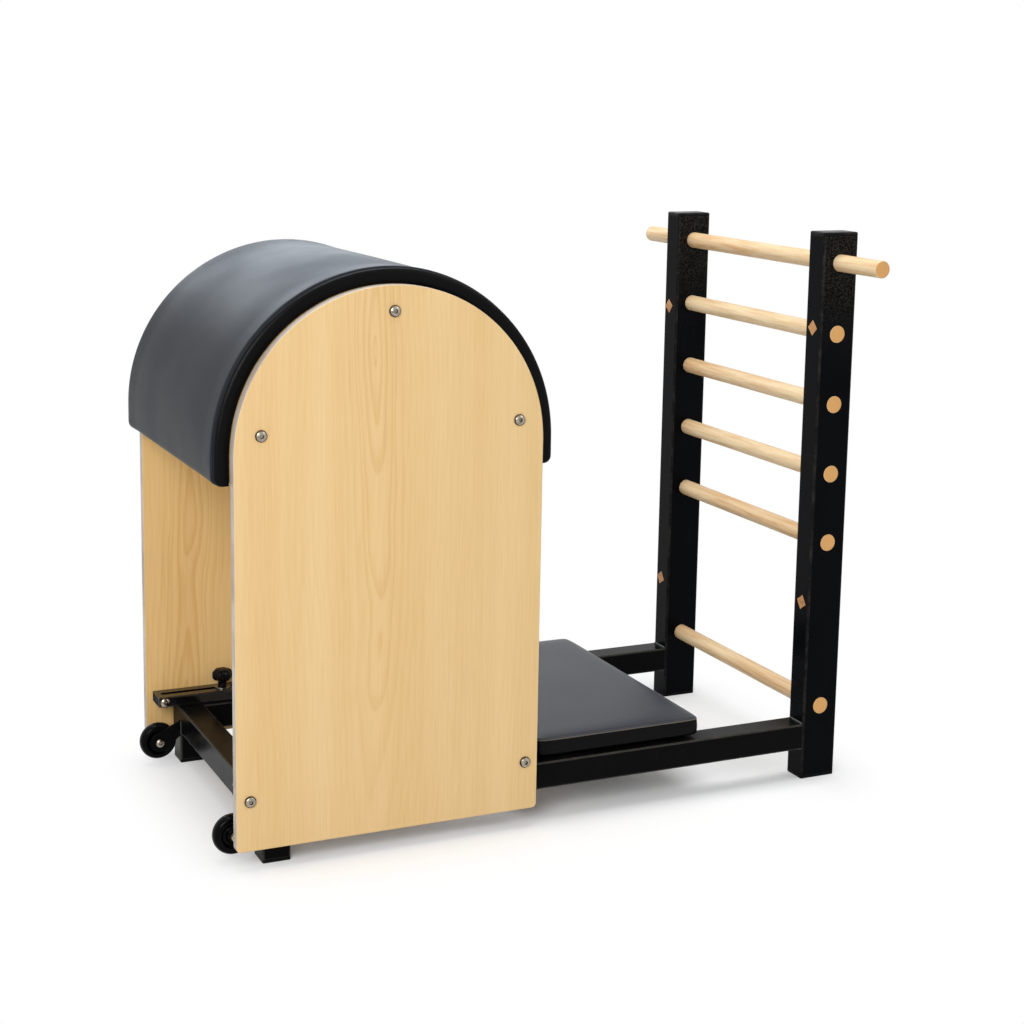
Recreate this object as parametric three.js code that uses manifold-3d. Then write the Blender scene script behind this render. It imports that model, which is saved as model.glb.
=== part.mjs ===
// Pilates ladder barrel: a padded half-round barrel on arched side panels, which slides on a
// welded base towards or away from a ladder of wooden rungs, with a padded step between them.
// Millimetres, +Z up, the floor at Z = 0, +X from the barrel to the ladder, left is +Y.
// Layout places along X are counted from the centre of the barrel's arch, in its stored place.

import * as THREE from "three";
import { mergeVertices } from "three/addons/utils/BufferGeometryUtils.js";
import Module from "manifold-3d";

const wasm = await Module();
wasm.setup();

// Fits and fineness
const seatGap = 0.3;
const slideGap = 1;
const boreClearance = 0.3;
const cutOverrun = 2;
const fuseDepth = 0.6;
const mergeTolerance = 0.0005;
const roundSides = 24;
const boltSides = 12;
const wheelSides = 28;
const cornerSteps = 2;
const archSteps = 30;

// Base of square tube
const frameHalfWidth = 295;
const railSize = 50;
const railWall = 2;
const tubeCorner = 4;
const footHeight = 60;
const beamRearX = -225;
const beamCapFlange = 5;
const footCapFlange = 6;

// Ladder
const ladderFrontX = 855;
const ladderHeight = 1056;
const uprightDepth = 75;
const uprightWidth = 50;
const uprightWall = 2;
const topCapFlange = 7;
const bottomCapFlange = 5;
const rungDiameter = 32;
const rungChamfer = 1.5;
const handleOverhang = 132;
const lowestRungZ = 144;
const secondRungZ = 466.5;
const topRungDrop = 57.1;
const upperRungCount = 5;

// Lozenges let into the front of the uprights, each at its own drop from the top, offset and turn
const inlaySide = 21;
const inlayDepth = 6;
const upperLeftInlay = { drop: 199, outward: 6.5, turn: -6.5 };
const lowerLeftInlay = { drop: 794, outward: 6.5, turn: 11.5 };
const upperRightInlay = { drop: 180, outward: -2.3, turn: 1.5 };
const lowerRightInlay = { drop: 708.5, outward: 0.5, turn: 10.5 };

// Plastic plugs in the tubes' ends
const plugLength = 22;
const plugWall = 2;
const capEdgeRadius = 3;
const capEdgeSteps = 3;

// Barrel carriage
const panelHalfWidth = 278;
const panelThickness = 18;
const archCentreZ = 707.5;
const panelBottomZ = 36;
const panelFootRadius = 8;
const boltRingInset = 43.5;
const sideBoltRise = 38;
const lowerBoltInset = 24.3;
const shellThickness = 9;
const shellSkirt = 42;
const ribWidth = 64;
const ribDepth = 58;

// Barrel pad
const padCrownThickness = 30;
const padEdgeThickness = 28;
const padEdgeRadius = 10;
const padInnerRadius = 3;
const padSkirt = 46;
const padEndRadius = 13;
const padCrownSteps = 5;
const padEdgeSteps = 4;
const padEndSteps = 2;

// Slotted bars and the glide strips under them
const barWidth = 50;
const barHeight = 20;
const barWall = 2;
const barCorner = 2.5;
const barPlugThickness = 3;
const barPlugInset = 0.5;
const barEndInset = 13;
const slotWidth = 12;
const slotRearMargin = 9;
const slotLength = 300;
const stripThickness = 3.7;
const stripEndGap = 5;
const forwardTravel = 25;

// Clamping knobs
const knobFromBeam = 93;
const studDiameter = 10;
const bushDiameter = 20;
const bushDepth = 12;
const washerDiameter = 32;
const washerThickness = 2;
const knobDiameter = 40;
const knobLobeDepth = 3.2;
const knobLobes = 6;
const knobRingSteps = 36;
const knobHeadHeight = 23;
const knobBevel = 5;
const knobCrown = 1.6;
const knobNeckDiameter = 17;
const knobNeckHeight = 12;

// Fasteners
const boltDiameter = 8;
const boltHeadDiameter = 20.5;
const boltHeadHeight = 6.5;
const boltHeadRim = 1.6;
const boltDomeSteps = 3;
const socketAcrossFlats = 5;
const socketDepth = 3;
const woodGrip = 36;
const nutAcrossFlats = 13;
const nutHeight = 8;
const hexSides = 6;

// Transport wheels
const wheelDiameter = 71;
const wheelWidth = 25;
const axleBehindBeam = 42;
const axleZ = 47.5;
const wheelInset = 42;
const wheelHubDiameter = 25;
const wheelRimDepth = 9;
const wheelTreadDrop = 7;
const wheelWebThickness = 11;
const wheelEdgeSteps = 5;
const wheelSideGap = 0.5;
const bracketThickness = 4;
const bracketEyeRadius = 19;
const bracketRootTop = 22;
const bracketRootBottom = 52;

// Step between the rails
const stepLength = 344;
const stepSideInset = 10;
const stepCornerRadius = 24;
const stepSeamHeight = 30;
const stepCrownRise = 8;
const stepSideBulge = 3;
const stepEdgeInset = 5;
const stepBoardThickness = 12;
const stepBoardInset = 20;
const stepBoardShow = 5;
const stepBoardCorner = 10;
const stepCrownSteps = 5;
const stepCornerSteps = 5;

// Places that follow from the sizes above
const railTopZ = footHeight + railSize;
const railCentreY = frameHalfWidth - railSize / 2;
const railCentreZ = footHeight + railSize / 2;
const beamCentreX = beamRearX + railSize / 2;
const railStartX = beamRearX + railSize + seatGap;
const railLength = ladderFrontX - seatGap - railStartX;
const beamHalfLength = frameHalfWidth - beamCapFlange;
const footCentreY = beamHalfLength - railSize / 2;
const knobX = beamRearX + knobFromBeam;
const rungPitch = (ladderHeight - topRungDrop - secondRungZ) / (upperRungCount - 1);
const uprightCentreX = ladderFrontX + uprightDepth / 2;
const uprightCentreY = frameHalfWidth - uprightWidth / 2;
const rungHoleRadius = rungDiameter / 2 + boreClearance;
const stripBottomZ = railTopZ + seatGap;
const barBottomZ = stripBottomZ + stripThickness + seatGap;
const barTopZ = barBottomZ + barHeight;
const barCentreZ = barBottomZ + barHeight / 2;
const panelInnerY = frameHalfWidth + slideGap;
const panelCentreY = panelInnerY + panelThickness / 2;
const barCentreY = panelInnerY - seatGap - barWidth / 2;
const barHalfLength = panelHalfWidth - barEndInset;
const drumHalfLength = panelInnerY - seatGap;
const shellOuterRadius = panelHalfWidth - seatGap;
const shellInnerRadius = shellOuterRadius - shellThickness;
const ribOuterRadius = shellInnerRadius * Math.cos(Math.PI / archSteps / 2) - seatGap;
const boltRing = panelHalfWidth - boltRingInset;
const lowerBoltX = panelHalfWidth - lowerBoltInset;
const sideBoltAngle = Math.asin(sideBoltRise / boltRing);
const washerBottomZ = barTopZ + seatGap;
const knobBottomZ = washerBottomZ + washerThickness + seatGap;
const axleX = beamRearX - axleBehindBeam;
const wheelCentreY = frameHalfWidth - wheelInset;
const bracketOuterY = wheelCentreY - wheelWidth / 2 - wheelSideGap;
const bracketCentreY = bracketOuterY - bracketThickness / 2;
const stepRearX = barHalfLength + forwardTravel + slideGap;
const stepHalfWidth = frameHalfWidth - stepSideInset;
const stepBottomZ = railTopZ + seatGap;
const stepCentreX = stepRearX + stepLength / 2;
const rearmostX = -(panelHalfWidth + padCrownThickness);
const foremostX = ladderFrontX + uprightDepth;

const sides = [
  { tag: "left", sign: 1 },
  { tag: "right", sign: -1 },
];

// Finishes, as seen in daylight
const finishes = {
  blackPaint: { color: 0x0f1012, roughness: 0.3, metalness: 0.2 },
  blackPlastic: { color: 0x121214, roughness: 0.45, metalness: 0 },
  glossBar: { color: 0x0b0b0c, roughness: 0.18, metalness: 0.2 },
  laminate: { color: 0xe3c288, roughness: 0.45, metalness: 0 },
  rungWood: { color: 0xe6c9a0, roughness: 0.5, metalness: 0 },
  inlayWood: { color: 0xb98552, roughness: 0.5, metalness: 0 },
  plywood: { color: 0xcfae78, roughness: 0.7, metalness: 0 },
  vinyl: { color: 0x35373d, roughness: 0.5, metalness: 0 },
  blackVinyl: { color: 0x1c1d20, roughness: 0.5, metalness: 0 },
  nickel: { color: 0xa9a49a, roughness: 0.22, metalness: 1 },
  brass: { color: 0xb8955a, roughness: 0.35, metalness: 1 },
  wheelRubber: { color: 0x0a0a0b, roughness: 0.2, metalness: 0 },
};

// Indexed triangles with shared vertices, no empty triangles, and their faces pointing out
function closedGeometry(source) {
  const bare = source.clone();
  bare.deleteAttribute("normal");
  bare.deleteAttribute("uv");
  const merged = mergeVertices(bare, mergeTolerance);
  const index = merged.index.array;
  const corners = merged.attributes.position;
  const a = new THREE.Vector3();
  const b = new THREE.Vector3();
  const c = new THREE.Vector3();
  const kept = [];
  let volume = 0;
  for (let i = 0; i < index.length; i += 3) {
    const triangle = [index[i], index[i + 1], index[i + 2]];
    if (new Set(triangle).size < triangle.length) {
      continue;
    }
    kept.push(triangle);
    a.fromBufferAttribute(corners, triangle[0]);
    b.fromBufferAttribute(corners, triangle[1]);
    c.fromBufferAttribute(corners, triangle[2]);
    volume += a.dot(b.cross(c));
  }
  if (volume < 0) {
    kept.forEach((triangle) => triangle.reverse());
  }
  merged.setIndex(kept.flat());
  return merged;
}

// A closed geometry as a solid that can be joined and cut
function solidOf(geometry) {
  const closed = closedGeometry(geometry);
  return new wasm.Manifold(new wasm.Mesh({
    numProp: 3,
    vertProperties: new Float32Array(closed.attributes.position.array),
    triVerts: new Uint32Array(closed.index.array),
  }));
}

// A solid's triangles as a geometry again
function geometryOf(solid) {
  const mesh = solid.getMesh();
  const geometry = new THREE.BufferGeometry();
  geometry.setAttribute("position", new THREE.BufferAttribute(mesh.vertProperties, mesh.numProp));
  geometry.setIndex(new THREE.BufferAttribute(mesh.triVerts, 1));
  return geometry;
}

// A body with other bodies cut from it
function cutFrom(body, tools) {
  const cut = tools.reduce((rest, tool) => rest.subtract(solidOf(tool)), solidOf(body));
  return geometryOf(cut);
}

// Bodies that overlap, joined into one
function joined(bodies) {
  const [first, ...others] = bodies.map(solidOf);
  return geometryOf(others.reduce((sum, body) => sum.add(body), first));
}

// A closed body through rings of as many points each, closed by a fan at both ends
function lofted(rings) {
  const count = rings[0].length;
  const positions = rings.flat().flatMap((point) => point.toArray());
  const index = [];
  for (let ring = 0; ring + 1 < rings.length; ring += 1) {
    for (let i = 0; i < count; i += 1) {
      const next = (i + 1) % count;
      const here = ring * count;
      const there = here + count;
      index.push(here + i, here + next, there + next, here + i, there + next, there + i);
    }
  }
  const closings = [
    { ring: rings[0], offset: 0, turned: true },
    { ring: rings[rings.length - 1], offset: (rings.length - 1) * count, turned: false },
  ];
  for (const { ring, offset, turned } of closings) {
    const middle = ring.reduce((sum, point) => sum.add(point), new THREE.Vector3());
    const hub = positions.length / 3;
    positions.push(...middle.divideScalar(count).toArray());
    for (let i = 0; i < count; i += 1) {
      const next = (i + 1) % count;
      index.push(...(turned ? [hub, offset + next, offset + i] : [hub, offset + i, offset + next]));
    }
  }
  const geometry = new THREE.BufferGeometry();
  geometry.setAttribute("position", new THREE.Float32BufferAttribute(positions, 3));
  geometry.setIndex(index);
  return closedGeometry(geometry);
}

// Points along an arc about a centre, from one angle to another
function arcPoints(x, y, radius, start, end, steps) {
  return Array.from({ length: steps + 1 }, (unused, i) => {
    const angle = start + (end - start) * i / steps;
    return new THREE.Vector2(x + radius * Math.cos(angle), y + radius * Math.sin(angle));
  });
}

// The points of a regular polygon about the origin, which stands for a circle or a hexagon
function polygonPoints(radius, count) {
  return arcPoints(0, 0, radius, 0, 2 * Math.PI, count).slice(0, count);
}

// The points of a rectangle with round corners, about the origin
function roundedRectanglePoints(width, height, radius, steps = cornerSteps) {
  const corners = [[1, 1], [-1, 1], [-1, -1], [1, -1]];
  return corners.flatMap(([signX, signY], corner) => {
    const start = corner * Math.PI / 2;
    return arcPoints(
      signX * (width / 2 - radius), signY * (height / 2 - radius), radius, start, start + Math.PI / 2, steps,
    );
  });
}

// A rectangle with round corners as a shape, hollow where a wall is given
function tubeShape(width, height, radius, wall = 0) {
  const shape = new THREE.Shape(roundedRectanglePoints(width, height, radius));
  if (wall > 0) {
    const inner = roundedRectanglePoints(width - 2 * wall, height - 2 * wall, radius - wall);
    shape.holes.push(new THREE.Path(inner));
  }
  return shape;
}

// A shape drawn in X and Y, extruded upwards from Z = 0
function extrudedUp(shape, height) {
  return new THREE.ExtrudeGeometry(shape, { depth: height, bevelEnabled: false });
}

// A shape drawn in Y and Z, extruded along X from X = 0
function extrudedAlongX(shape, length) {
  const turn = new THREE.Matrix4().makeBasis(
    new THREE.Vector3(0, 1, 0),
    new THREE.Vector3(0, 0, 1),
    new THREE.Vector3(1, 0, 0),
  );
  return extrudedUp(shape, length).applyMatrix4(turn);
}

// A shape drawn in X and Z, extruded along Y with its middle at Y = 0
function extrudedAcross(shape, width) {
  const turn = new THREE.Matrix4().makeBasis(
    new THREE.Vector3(1, 0, 0),
    new THREE.Vector3(0, 0, 1),
    new THREE.Vector3(0, -1, 0),
  );
  return extrudedUp(shape, width).translate(0, 0, -width / 2).applyMatrix4(turn);
}

// A round bar along Y, with its middle at the place given
function roundAcross(radius, length, x, y, z, segments = roundSides) {
  return new THREE.CylinderGeometry(radius, radius, length, segments).translate(x, y, z);
}

// A round bar along Z, with its middle at the place given
function roundUpright(radius, length, x, y, z, segments = boltSides) {
  return new THREE.CylinderGeometry(radius, radius, length, segments)
    .rotateX(Math.PI / 2)
    .translate(x, y, z);
}

// A profile of radius against height, turned round the Y axis
function turned(profile, segments) {
  const points = profile.map(([radius, height]) => new THREE.Vector2(radius, height));
  return closedGeometry(new THREE.LatheGeometry(points, segments));
}

// A hexagon with one pair of its flats facing up and down
function hexagonPoints(acrossFlats) {
  return polygonPoints(acrossFlats / Math.sqrt(3), hexSides);
}

// Adds a named piece with a material of its own
function addPiece(parent, name, geometry, finish, x, y, z) {
  const mesh = new THREE.Mesh(geometry, new THREE.MeshStandardMaterial(finish));
  mesh.name = name;
  mesh.position.set(x, y, z);
  parent.add(mesh);
  return mesh;
}

// A plastic plug: a flange with a rounded rim above Z = 0 and a hollow plug below it
function tubePlug(width, height, wall, flange, edgeRadius) {
  const rings = [roundedRectanglePoints(width, height, tubeCorner)
    .map((point) => new THREE.Vector3(point.x, point.y, 0))];
  for (let step = 0; step <= capEdgeSteps; step += 1) {
    const angle = step / capEdgeSteps * Math.PI / 2;
    const inset = edgeRadius * (1 - Math.cos(angle));
    const level = flange - edgeRadius * (1 - Math.sin(angle));
    const ring = roundedRectanglePoints(width - 2 * inset, height - 2 * inset, tubeCorner - inset);
    rings.push(ring.map((point) => new THREE.Vector3(point.x, point.y, level)));
  }
  const allowance = 2 * (wall + boreClearance);
  const plug = tubeShape(
    width - allowance, height - allowance, tubeCorner - wall - boreClearance + plugWall, plugWall,
  );
  return joined([
    lofted(rings),
    extrudedUp(plug, plugLength + fuseDepth).translate(0, 0, -plugLength),
  ]);
}

// A domed bolt along +Y: its head lies below Y = 0 and its shank runs from there
function domedBolt(shankLength, farHead) {
  const shank = boltDiameter / 2;
  const head = boltHeadDiameter / 2;
  const dome = [];
  for (let step = 0; step <= boltDomeSteps; step += 1) {
    const angle = step / boltDomeSteps * Math.PI / 2;
    dome.push([head * Math.sin(angle), boltHeadRim + (boltHeadHeight - boltHeadRim) * Math.cos(angle)]);
  }
  const nearSide = dome.map(([radius, height]) => [radius, -height]);
  const profile = [...nearSide, [head, 0], [shank, 0], [shank, shankLength]];
  if (farHead) {
    const farSide = dome.map(([radius, height]) => [radius, shankLength + height]).reverse();
    profile.push([head, shankLength], ...farSide);
  } else {
    profile.push([0, shankLength]);
  }
  const bolt = turned(profile, boltSides);
  const sockets = [-boltHeadHeight];
  if (farHead) {
    sockets.push(shankLength + boltHeadHeight);
  }
  const hexagon = new THREE.Shape(hexagonPoints(socketAcrossFlats));
  const tools = sockets.map((y) => extrudedAcross(hexagon, 2 * socketDepth).translate(0, y, 0));
  return cutFrom(bolt, tools);
}

// Rails with the bush that the clamping stud screws into
function addRails(parent) {
  const studX = knobX - railStartX;
  const wallZ = railSize / 2 - railWall;
  const tube = extrudedAlongX(tubeShape(railSize, railSize, tubeCorner, railWall), railLength);
  const bushLength = bushDepth + fuseDepth;
  const bush = roundUpright(
    bushDiameter / 2, bushLength, studX, 0, wallZ + fuseDepth - bushLength / 2, roundSides,
  );
  const boreLength = bushDepth + railWall + 2 * cutOverrun;
  const bore = roundUpright(
    studDiameter / 2 + boreClearance, boreLength, studX, 0, railSize / 2 + cutOverrun - boreLength / 2,
  );
  const rail = cutFrom(joined([tube, bush]), [bore]);
  for (const { tag, sign } of sides) {
    addPiece(parent, `side_rail_${tag}`, rail, finishes.blackPaint,
      railStartX, sign * railCentreY, railCentreZ);
  }
}

// Cross beam, its end plugs, and the feet welded under it
function addCrossBeam(parent) {
  const tube = tubeShape(railSize, railSize, tubeCorner, railWall);
  addPiece(parent, "cross_beam", extrudedAcross(tube, 2 * beamHalfLength), finishes.blackPaint,
    beamCentreX, 0, railCentreZ);
  const endPlug = tubePlug(railSize, railSize, railWall, beamCapFlange - seatGap, capEdgeRadius);
  const footPlug = tubePlug(railSize, railSize, railWall, footCapFlange, 0);
  const footTube = extrudedUp(tube, footHeight - footCapFlange - 2 * seatGap);
  for (const { tag, sign } of sides) {
    const plug = addPiece(parent, `beam_end_cap_${tag}`, endPlug, finishes.blackPlastic,
      beamCentreX, sign * (beamHalfLength + seatGap), railCentreZ);
    plug.rotation.x = -sign * Math.PI / 2;
    addPiece(parent, `foot_${tag}`, footTube, finishes.blackPaint,
      beamCentreX, sign * footCentreY, footCapFlange + seatGap);
    const cap = addPiece(parent, `foot_cap_${tag}`, footPlug, finishes.blackPlastic,
      beamCentreX, sign * footCentreY, footCapFlange);
    cap.rotation.x = Math.PI;
  }
}

// Heights of all the rungs' centre lines, lowest first
function rungHeights() {
  const heights = [lowestRungZ];
  for (let i = 0; i < upperRungCount; i += 1) {
    heights.push(secondRungZ + i * rungPitch);
  }
  return heights;
}

// A lozenge in the YZ plane, as a block along X from X = 0
function lozengeBlock(side, turn, depth) {
  const block = new THREE.BoxGeometry(depth, side, side).translate(depth / 2, 0, 0);
  return block.rotateX(Math.PI / 4 + THREE.MathUtils.degToRad(turn));
}

// One upright: a tube drilled for the rungs, with holes for its lozenges, and its two plugs
function addUpright(parent, tag, sign, inlays) {
  const bottomZ = bottomCapFlange + seatGap;
  const length = ladderHeight - topCapFlange - seatGap - bottomZ;
  const tube = extrudedUp(tubeShape(uprightDepth, uprightWidth, tubeCorner, uprightWall), length);
  const drills = rungHeights().map((height) => (
    roundAcross(rungHoleRadius, uprightWidth + cutOverrun, 0, 0, height - bottomZ)
  ));
  const pockets = inlays.map(({ drop, outward, turn }) => (
    lozengeBlock(inlaySide + 2 * boreClearance, turn, cutOverrun + uprightWall + cutOverrun)
      .translate(-uprightDepth / 2 - cutOverrun, sign * outward, ladderHeight - drop - bottomZ)
  ));
  addPiece(parent, `upright_${tag}`, cutFrom(tube, [...drills, ...pockets]), finishes.blackPaint,
    uprightCentreX, sign * uprightCentreY, bottomZ);
  const topPlug = tubePlug(uprightDepth, uprightWidth, uprightWall, topCapFlange, capEdgeRadius);
  addPiece(parent, `upright_top_cap_${tag}`, topPlug, finishes.blackPlastic,
    uprightCentreX, sign * uprightCentreY, ladderHeight - topCapFlange);
  const bottomPlug = tubePlug(uprightDepth, uprightWidth, uprightWall, bottomCapFlange, 0);
  const bottomCap = addPiece(parent, `upright_bottom_cap_${tag}`, bottomPlug, finishes.blackPlastic,
    uprightCentreX, sign * uprightCentreY, bottomCapFlange);
  bottomCap.rotation.x = Math.PI;
  const levels = ["upper", "lower"];
  inlays.forEach(({ drop, outward, turn }, i) => {
    addPiece(parent, `diamond_inlay_${levels[i]}_${tag}`, lozengeBlock(inlaySide, turn, inlayDepth),
      finishes.inlayWood, ladderFrontX, sign * (uprightCentreY + outward), ladderHeight - drop);
  });
}

// Ladder: two uprights and the rungs between them, the top one longer as a pair of handles
function addLadder(parent) {
  addUpright(parent, "left", 1, [upperLeftInlay, lowerLeftInlay]);
  addUpright(parent, "right", -1, [upperRightInlay, lowerRightInlay]);
  const heights = rungHeights();
  const radius = rungDiameter / 2;
  heights.forEach((height, i) => {
    const isTop = i === heights.length - 1;
    const end = frameHalfWidth + (isTop ? handleOverhang : 0);
    const rung = turned([
      [0, -end], [radius - rungChamfer, -end], [radius, rungChamfer - end],
      [radius, end - rungChamfer], [radius - rungChamfer, end], [0, end],
    ], roundSides);
    addPiece(parent, `rung_${i + 1}`, rung, finishes.rungWood, uprightCentreX, 0, height);
  });
}

// The transport wheel's section: bore, hub, web, rim and rounded tread
function wheelProfile() {
  const half = wheelWidth / 2;
  const bore = boltDiameter / 2 + boreClearance;
  const hub = wheelHubDiameter / 2;
  const rimInner = wheelDiameter / 2 - wheelRimDepth - wheelTreadDrop;
  const shoulder = wheelDiameter / 2 - wheelTreadDrop;
  const webHalf = wheelWebThickness / 2;
  const draft = half - webHalf;
  const oneSide = [[bore, half], [hub, half], [hub + draft / 3, webHalf], [rimInner - draft / 3, webHalf]];
  for (let step = 0; step <= wheelEdgeSteps; step += 1) {
    const angle = (1 - step / wheelEdgeSteps) * Math.PI / 2;
    oneSide.push([
      shoulder + wheelTreadDrop * Math.cos(angle),
      half * Math.sin(angle),
    ]);
  }
  const otherSide = oneSide.slice(0, -1).reverse().map(([radius, height]) => [radius, -height]);
  return [...oneSide, ...otherSide, oneSide[0]];
}

// The arm that carries a wheel: a plate from the cross beam's rear face to a round eye
function bracketPlate() {
  const rootX = axleBehindBeam - seatGap;
  const rootTop = railTopZ - bracketRootTop - axleZ;
  const rootBottom = railTopZ - bracketRootBottom - axleZ;
  const lean = Math.atan2((rootTop + rootBottom) / 2, rootX);
  const start = lean + Math.PI / 2;
  const shape = new THREE.Shape([
    new THREE.Vector2(rootX, rootBottom),
    new THREE.Vector2(rootX, rootTop),
    ...arcPoints(0, 0, bracketEyeRadius, start, start + Math.PI, roundSides / 2),
  ]);
  shape.holes.push(new THREE.Path(polygonPoints(boltDiameter / 2 + boreClearance, boltSides)));
  return extrudedAcross(shape, bracketThickness);
}

// Wheels with their brackets, axle bolts and nuts
function addWheels(parent) {
  const boltStartY = bracketCentreY - bracketThickness / 2 - seatGap;
  const nutStartY = wheelCentreY + wheelWidth / 2 + wheelSideGap;
  const boltLength = nutStartY + nutHeight - boltStartY;
  const nut = new THREE.Shape(hexagonPoints(nutAcrossFlats));
  nut.holes.push(new THREE.Path(polygonPoints(boltDiameter / 2 + boreClearance, boltSides)));
  for (const { tag, sign } of sides) {
    addPiece(parent, `wheel_bracket_${tag}`, bracketPlate(), finishes.blackPaint,
      axleX, sign * bracketCentreY, axleZ);
    addPiece(parent, `transport_wheel_${tag}`, turned(wheelProfile(), wheelSides), finishes.wheelRubber,
      axleX, sign * wheelCentreY, axleZ);
    const bolt = addPiece(parent, `axle_bolt_${tag}`, domedBolt(boltLength, false), finishes.nickel,
      axleX, sign * boltStartY, axleZ);
    bolt.rotation.x = sign > 0 ? 0 : Math.PI;
    addPiece(parent, `axle_nut_${tag}`, extrudedAcross(nut, nutHeight), finishes.brass,
      axleX, sign * (nutStartY + nutHeight / 2), axleZ);
  }
}

// One ring of the step cushion: a rounded rectangle drawn in by an inset, at a height
function stepRing(inset, level) {
  const radius = Math.max(stepCornerRadius - inset, stepCornerRadius / 3);
  const points = roundedRectanglePoints(
    stepLength - 2 * inset, 2 * (stepHalfWidth - inset), radius, stepCornerSteps,
  );
  return points.map((point) => new THREE.Vector3(point.x, point.y, level));
}

// Step: a board on the rails, and a wider cushion let down over it, with bulging sides and a crown
function addStep(parent) {
  const rings = [stepRing(stepSideBulge, 0), stepRing(0, stepSeamHeight / 2)];
  rings.push(stepRing(stepSideBulge / 2, stepSeamHeight));
  for (let step = 1; step <= stepCrownSteps; step += 1) {
    const share = step / stepCrownSteps;
    const inset = stepEdgeInset + (stepHalfWidth / 2 - stepEdgeInset) * share * share;
    const level = stepSeamHeight + stepCrownRise * Math.sin((1 + share) / 2 * Math.PI / 2);
    rings.push(stepRing(inset, level));
  }
  const boardLength = stepLength - 2 * stepBoardInset;
  const boardWidth = 2 * (stepHalfWidth - stepBoardInset);
  const board = tubeShape(boardLength, boardWidth, stepBoardCorner);
  const pocket = tubeShape(
    boardLength + 2 * seatGap, boardWidth + 2 * seatGap, stepBoardCorner + seatGap,
  );
  const pocketDepth = stepBoardThickness - stepBoardShow + seatGap;
  const recess = extrudedUp(pocket, pocketDepth + cutOverrun).translate(0, 0, -cutOverrun);
  addPiece(parent, "step_board", extrudedUp(board, stepBoardThickness), finishes.plywood,
    stepCentreX, 0, stepBottomZ);
  addPiece(parent, "step_cushion", cutFrom(lofted(rings), [recess]), finishes.blackVinyl,
    stepCentreX, 0, stepBottomZ + stepBoardShow);
}

// Strips of slippery plastic on the rails, drilled for the clamping stud
function addGlideStrips(parent) {
  const length = stepRearX - stripEndGap - beamRearX;
  const strip = new THREE.BoxGeometry(length, railSize, stripThickness);
  const holeX = knobFromBeam - length / 2;
  const hole = roundUpright(slotWidth / 2, stripThickness + cutOverrun, holeX, 0, 0);
  for (const { tag, sign } of sides) {
    addPiece(parent, `glide_strip_${tag}`, cutFrom(strip, [hole]), finishes.blackPlastic,
      beamRearX + length / 2, sign * railCentreY, stripBottomZ + stripThickness / 2);
  }
}

// A panel's outline: straight sides on rounded lower corners, under a half-round arch
function panelShape() {
  const drop = panelBottomZ - archCentreZ;
  const flat = panelHalfWidth - panelFootRadius;
  const footZ = drop + panelFootRadius;
  return new THREE.Shape([
    ...arcPoints(flat, footZ, panelFootRadius, -Math.PI / 2, 0, cornerSteps),
    ...arcPoints(0, 0, panelHalfWidth, 0, Math.PI, archSteps),
    ...arcPoints(-flat, footZ, panelFootRadius, Math.PI, 3 * Math.PI / 2, cornerSteps),
  ]);
}

// Places of a panel's bolts from the arch centre: two low in the bar, three on the bolt ring
function panelBoltPlaces() {
  const upper = [
    { place: "top", angle: Math.PI / 2 },
    { place: "front", angle: sideBoltAngle },
    { place: "rear", angle: Math.PI - sideBoltAngle },
  ];
  const ring = upper.map(({ place, angle }) => (
    { place, x: boltRing * Math.cos(angle), z: boltRing * Math.sin(angle), intoBar: false }
  ));
  const lowZ = barCentreZ - archCentreZ;
  return [
    ...ring,
    { place: "lower_front", x: lowerBoltX, z: lowZ, intoBar: true },
    { place: "lower_rear", x: -lowerBoltX, z: lowZ, intoBar: true },
  ];
}

// Side panels and the bolts through them
function addPanels(parent) {
  const holes = panelBoltPlaces().map(({ x, z }) => (
    roundAcross(boltDiameter / 2 + boreClearance, panelThickness + cutOverrun, x, 0, z, boltSides)
  ));
  const panel = cutFrom(extrudedAcross(panelShape(), panelThickness), holes);
  const headY = panelInnerY + panelThickness + seatGap;
  const farHeadY = barCentreY - barWidth / 2 - seatGap;
  for (const { tag, sign } of sides) {
    addPiece(parent, `side_panel_${tag}`, panel, finishes.laminate, 0, sign * panelCentreY, archCentreZ);
    for (const { place, x, z, intoBar } of panelBoltPlaces()) {
      const length = intoBar ? headY - farHeadY : panelThickness + woodGrip;
      const bolt = addPiece(parent, `panel_bolt_${place}_${tag}`, domedBolt(length, intoBar),
        finishes.nickel, x, sign * headY, archCentreZ + z);
      bolt.rotation.x = sign > 0 ? Math.PI : 0;
    }
  }
}

// A horseshoe in the XZ plane between two radii, with straight skirts below the arch centre
function horseshoeShape(outer, inner, skirt) {
  return new THREE.Shape([
    new THREE.Vector2(outer, -skirt),
    ...arcPoints(0, 0, outer, 0, Math.PI, archSteps),
    new THREE.Vector2(-outer, -skirt),
    new THREE.Vector2(-inner, -skirt),
    ...arcPoints(0, 0, inner, Math.PI, 0, archSteps),
    new THREE.Vector2(inner, -skirt),
  ]);
}

// A batten whose outer face follows the inside of the shell, standing at an angle on the arch
function ribShape(angle) {
  const half = Math.asin(ribWidth / 2 / ribOuterRadius);
  const inner = ribOuterRadius - ribDepth;
  const along = new THREE.Vector2(Math.cos(angle), Math.sin(angle));
  const across = new THREE.Vector2(-along.y, along.x).multiplyScalar(ribWidth / 2);
  const foot = along.clone().multiplyScalar(inner);
  return new THREE.Shape([
    foot.clone().sub(across),
    ...arcPoints(0, 0, ribOuterRadius, angle - half, angle + half, cornerSteps),
    foot.clone().add(across),
  ]);
}

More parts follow.
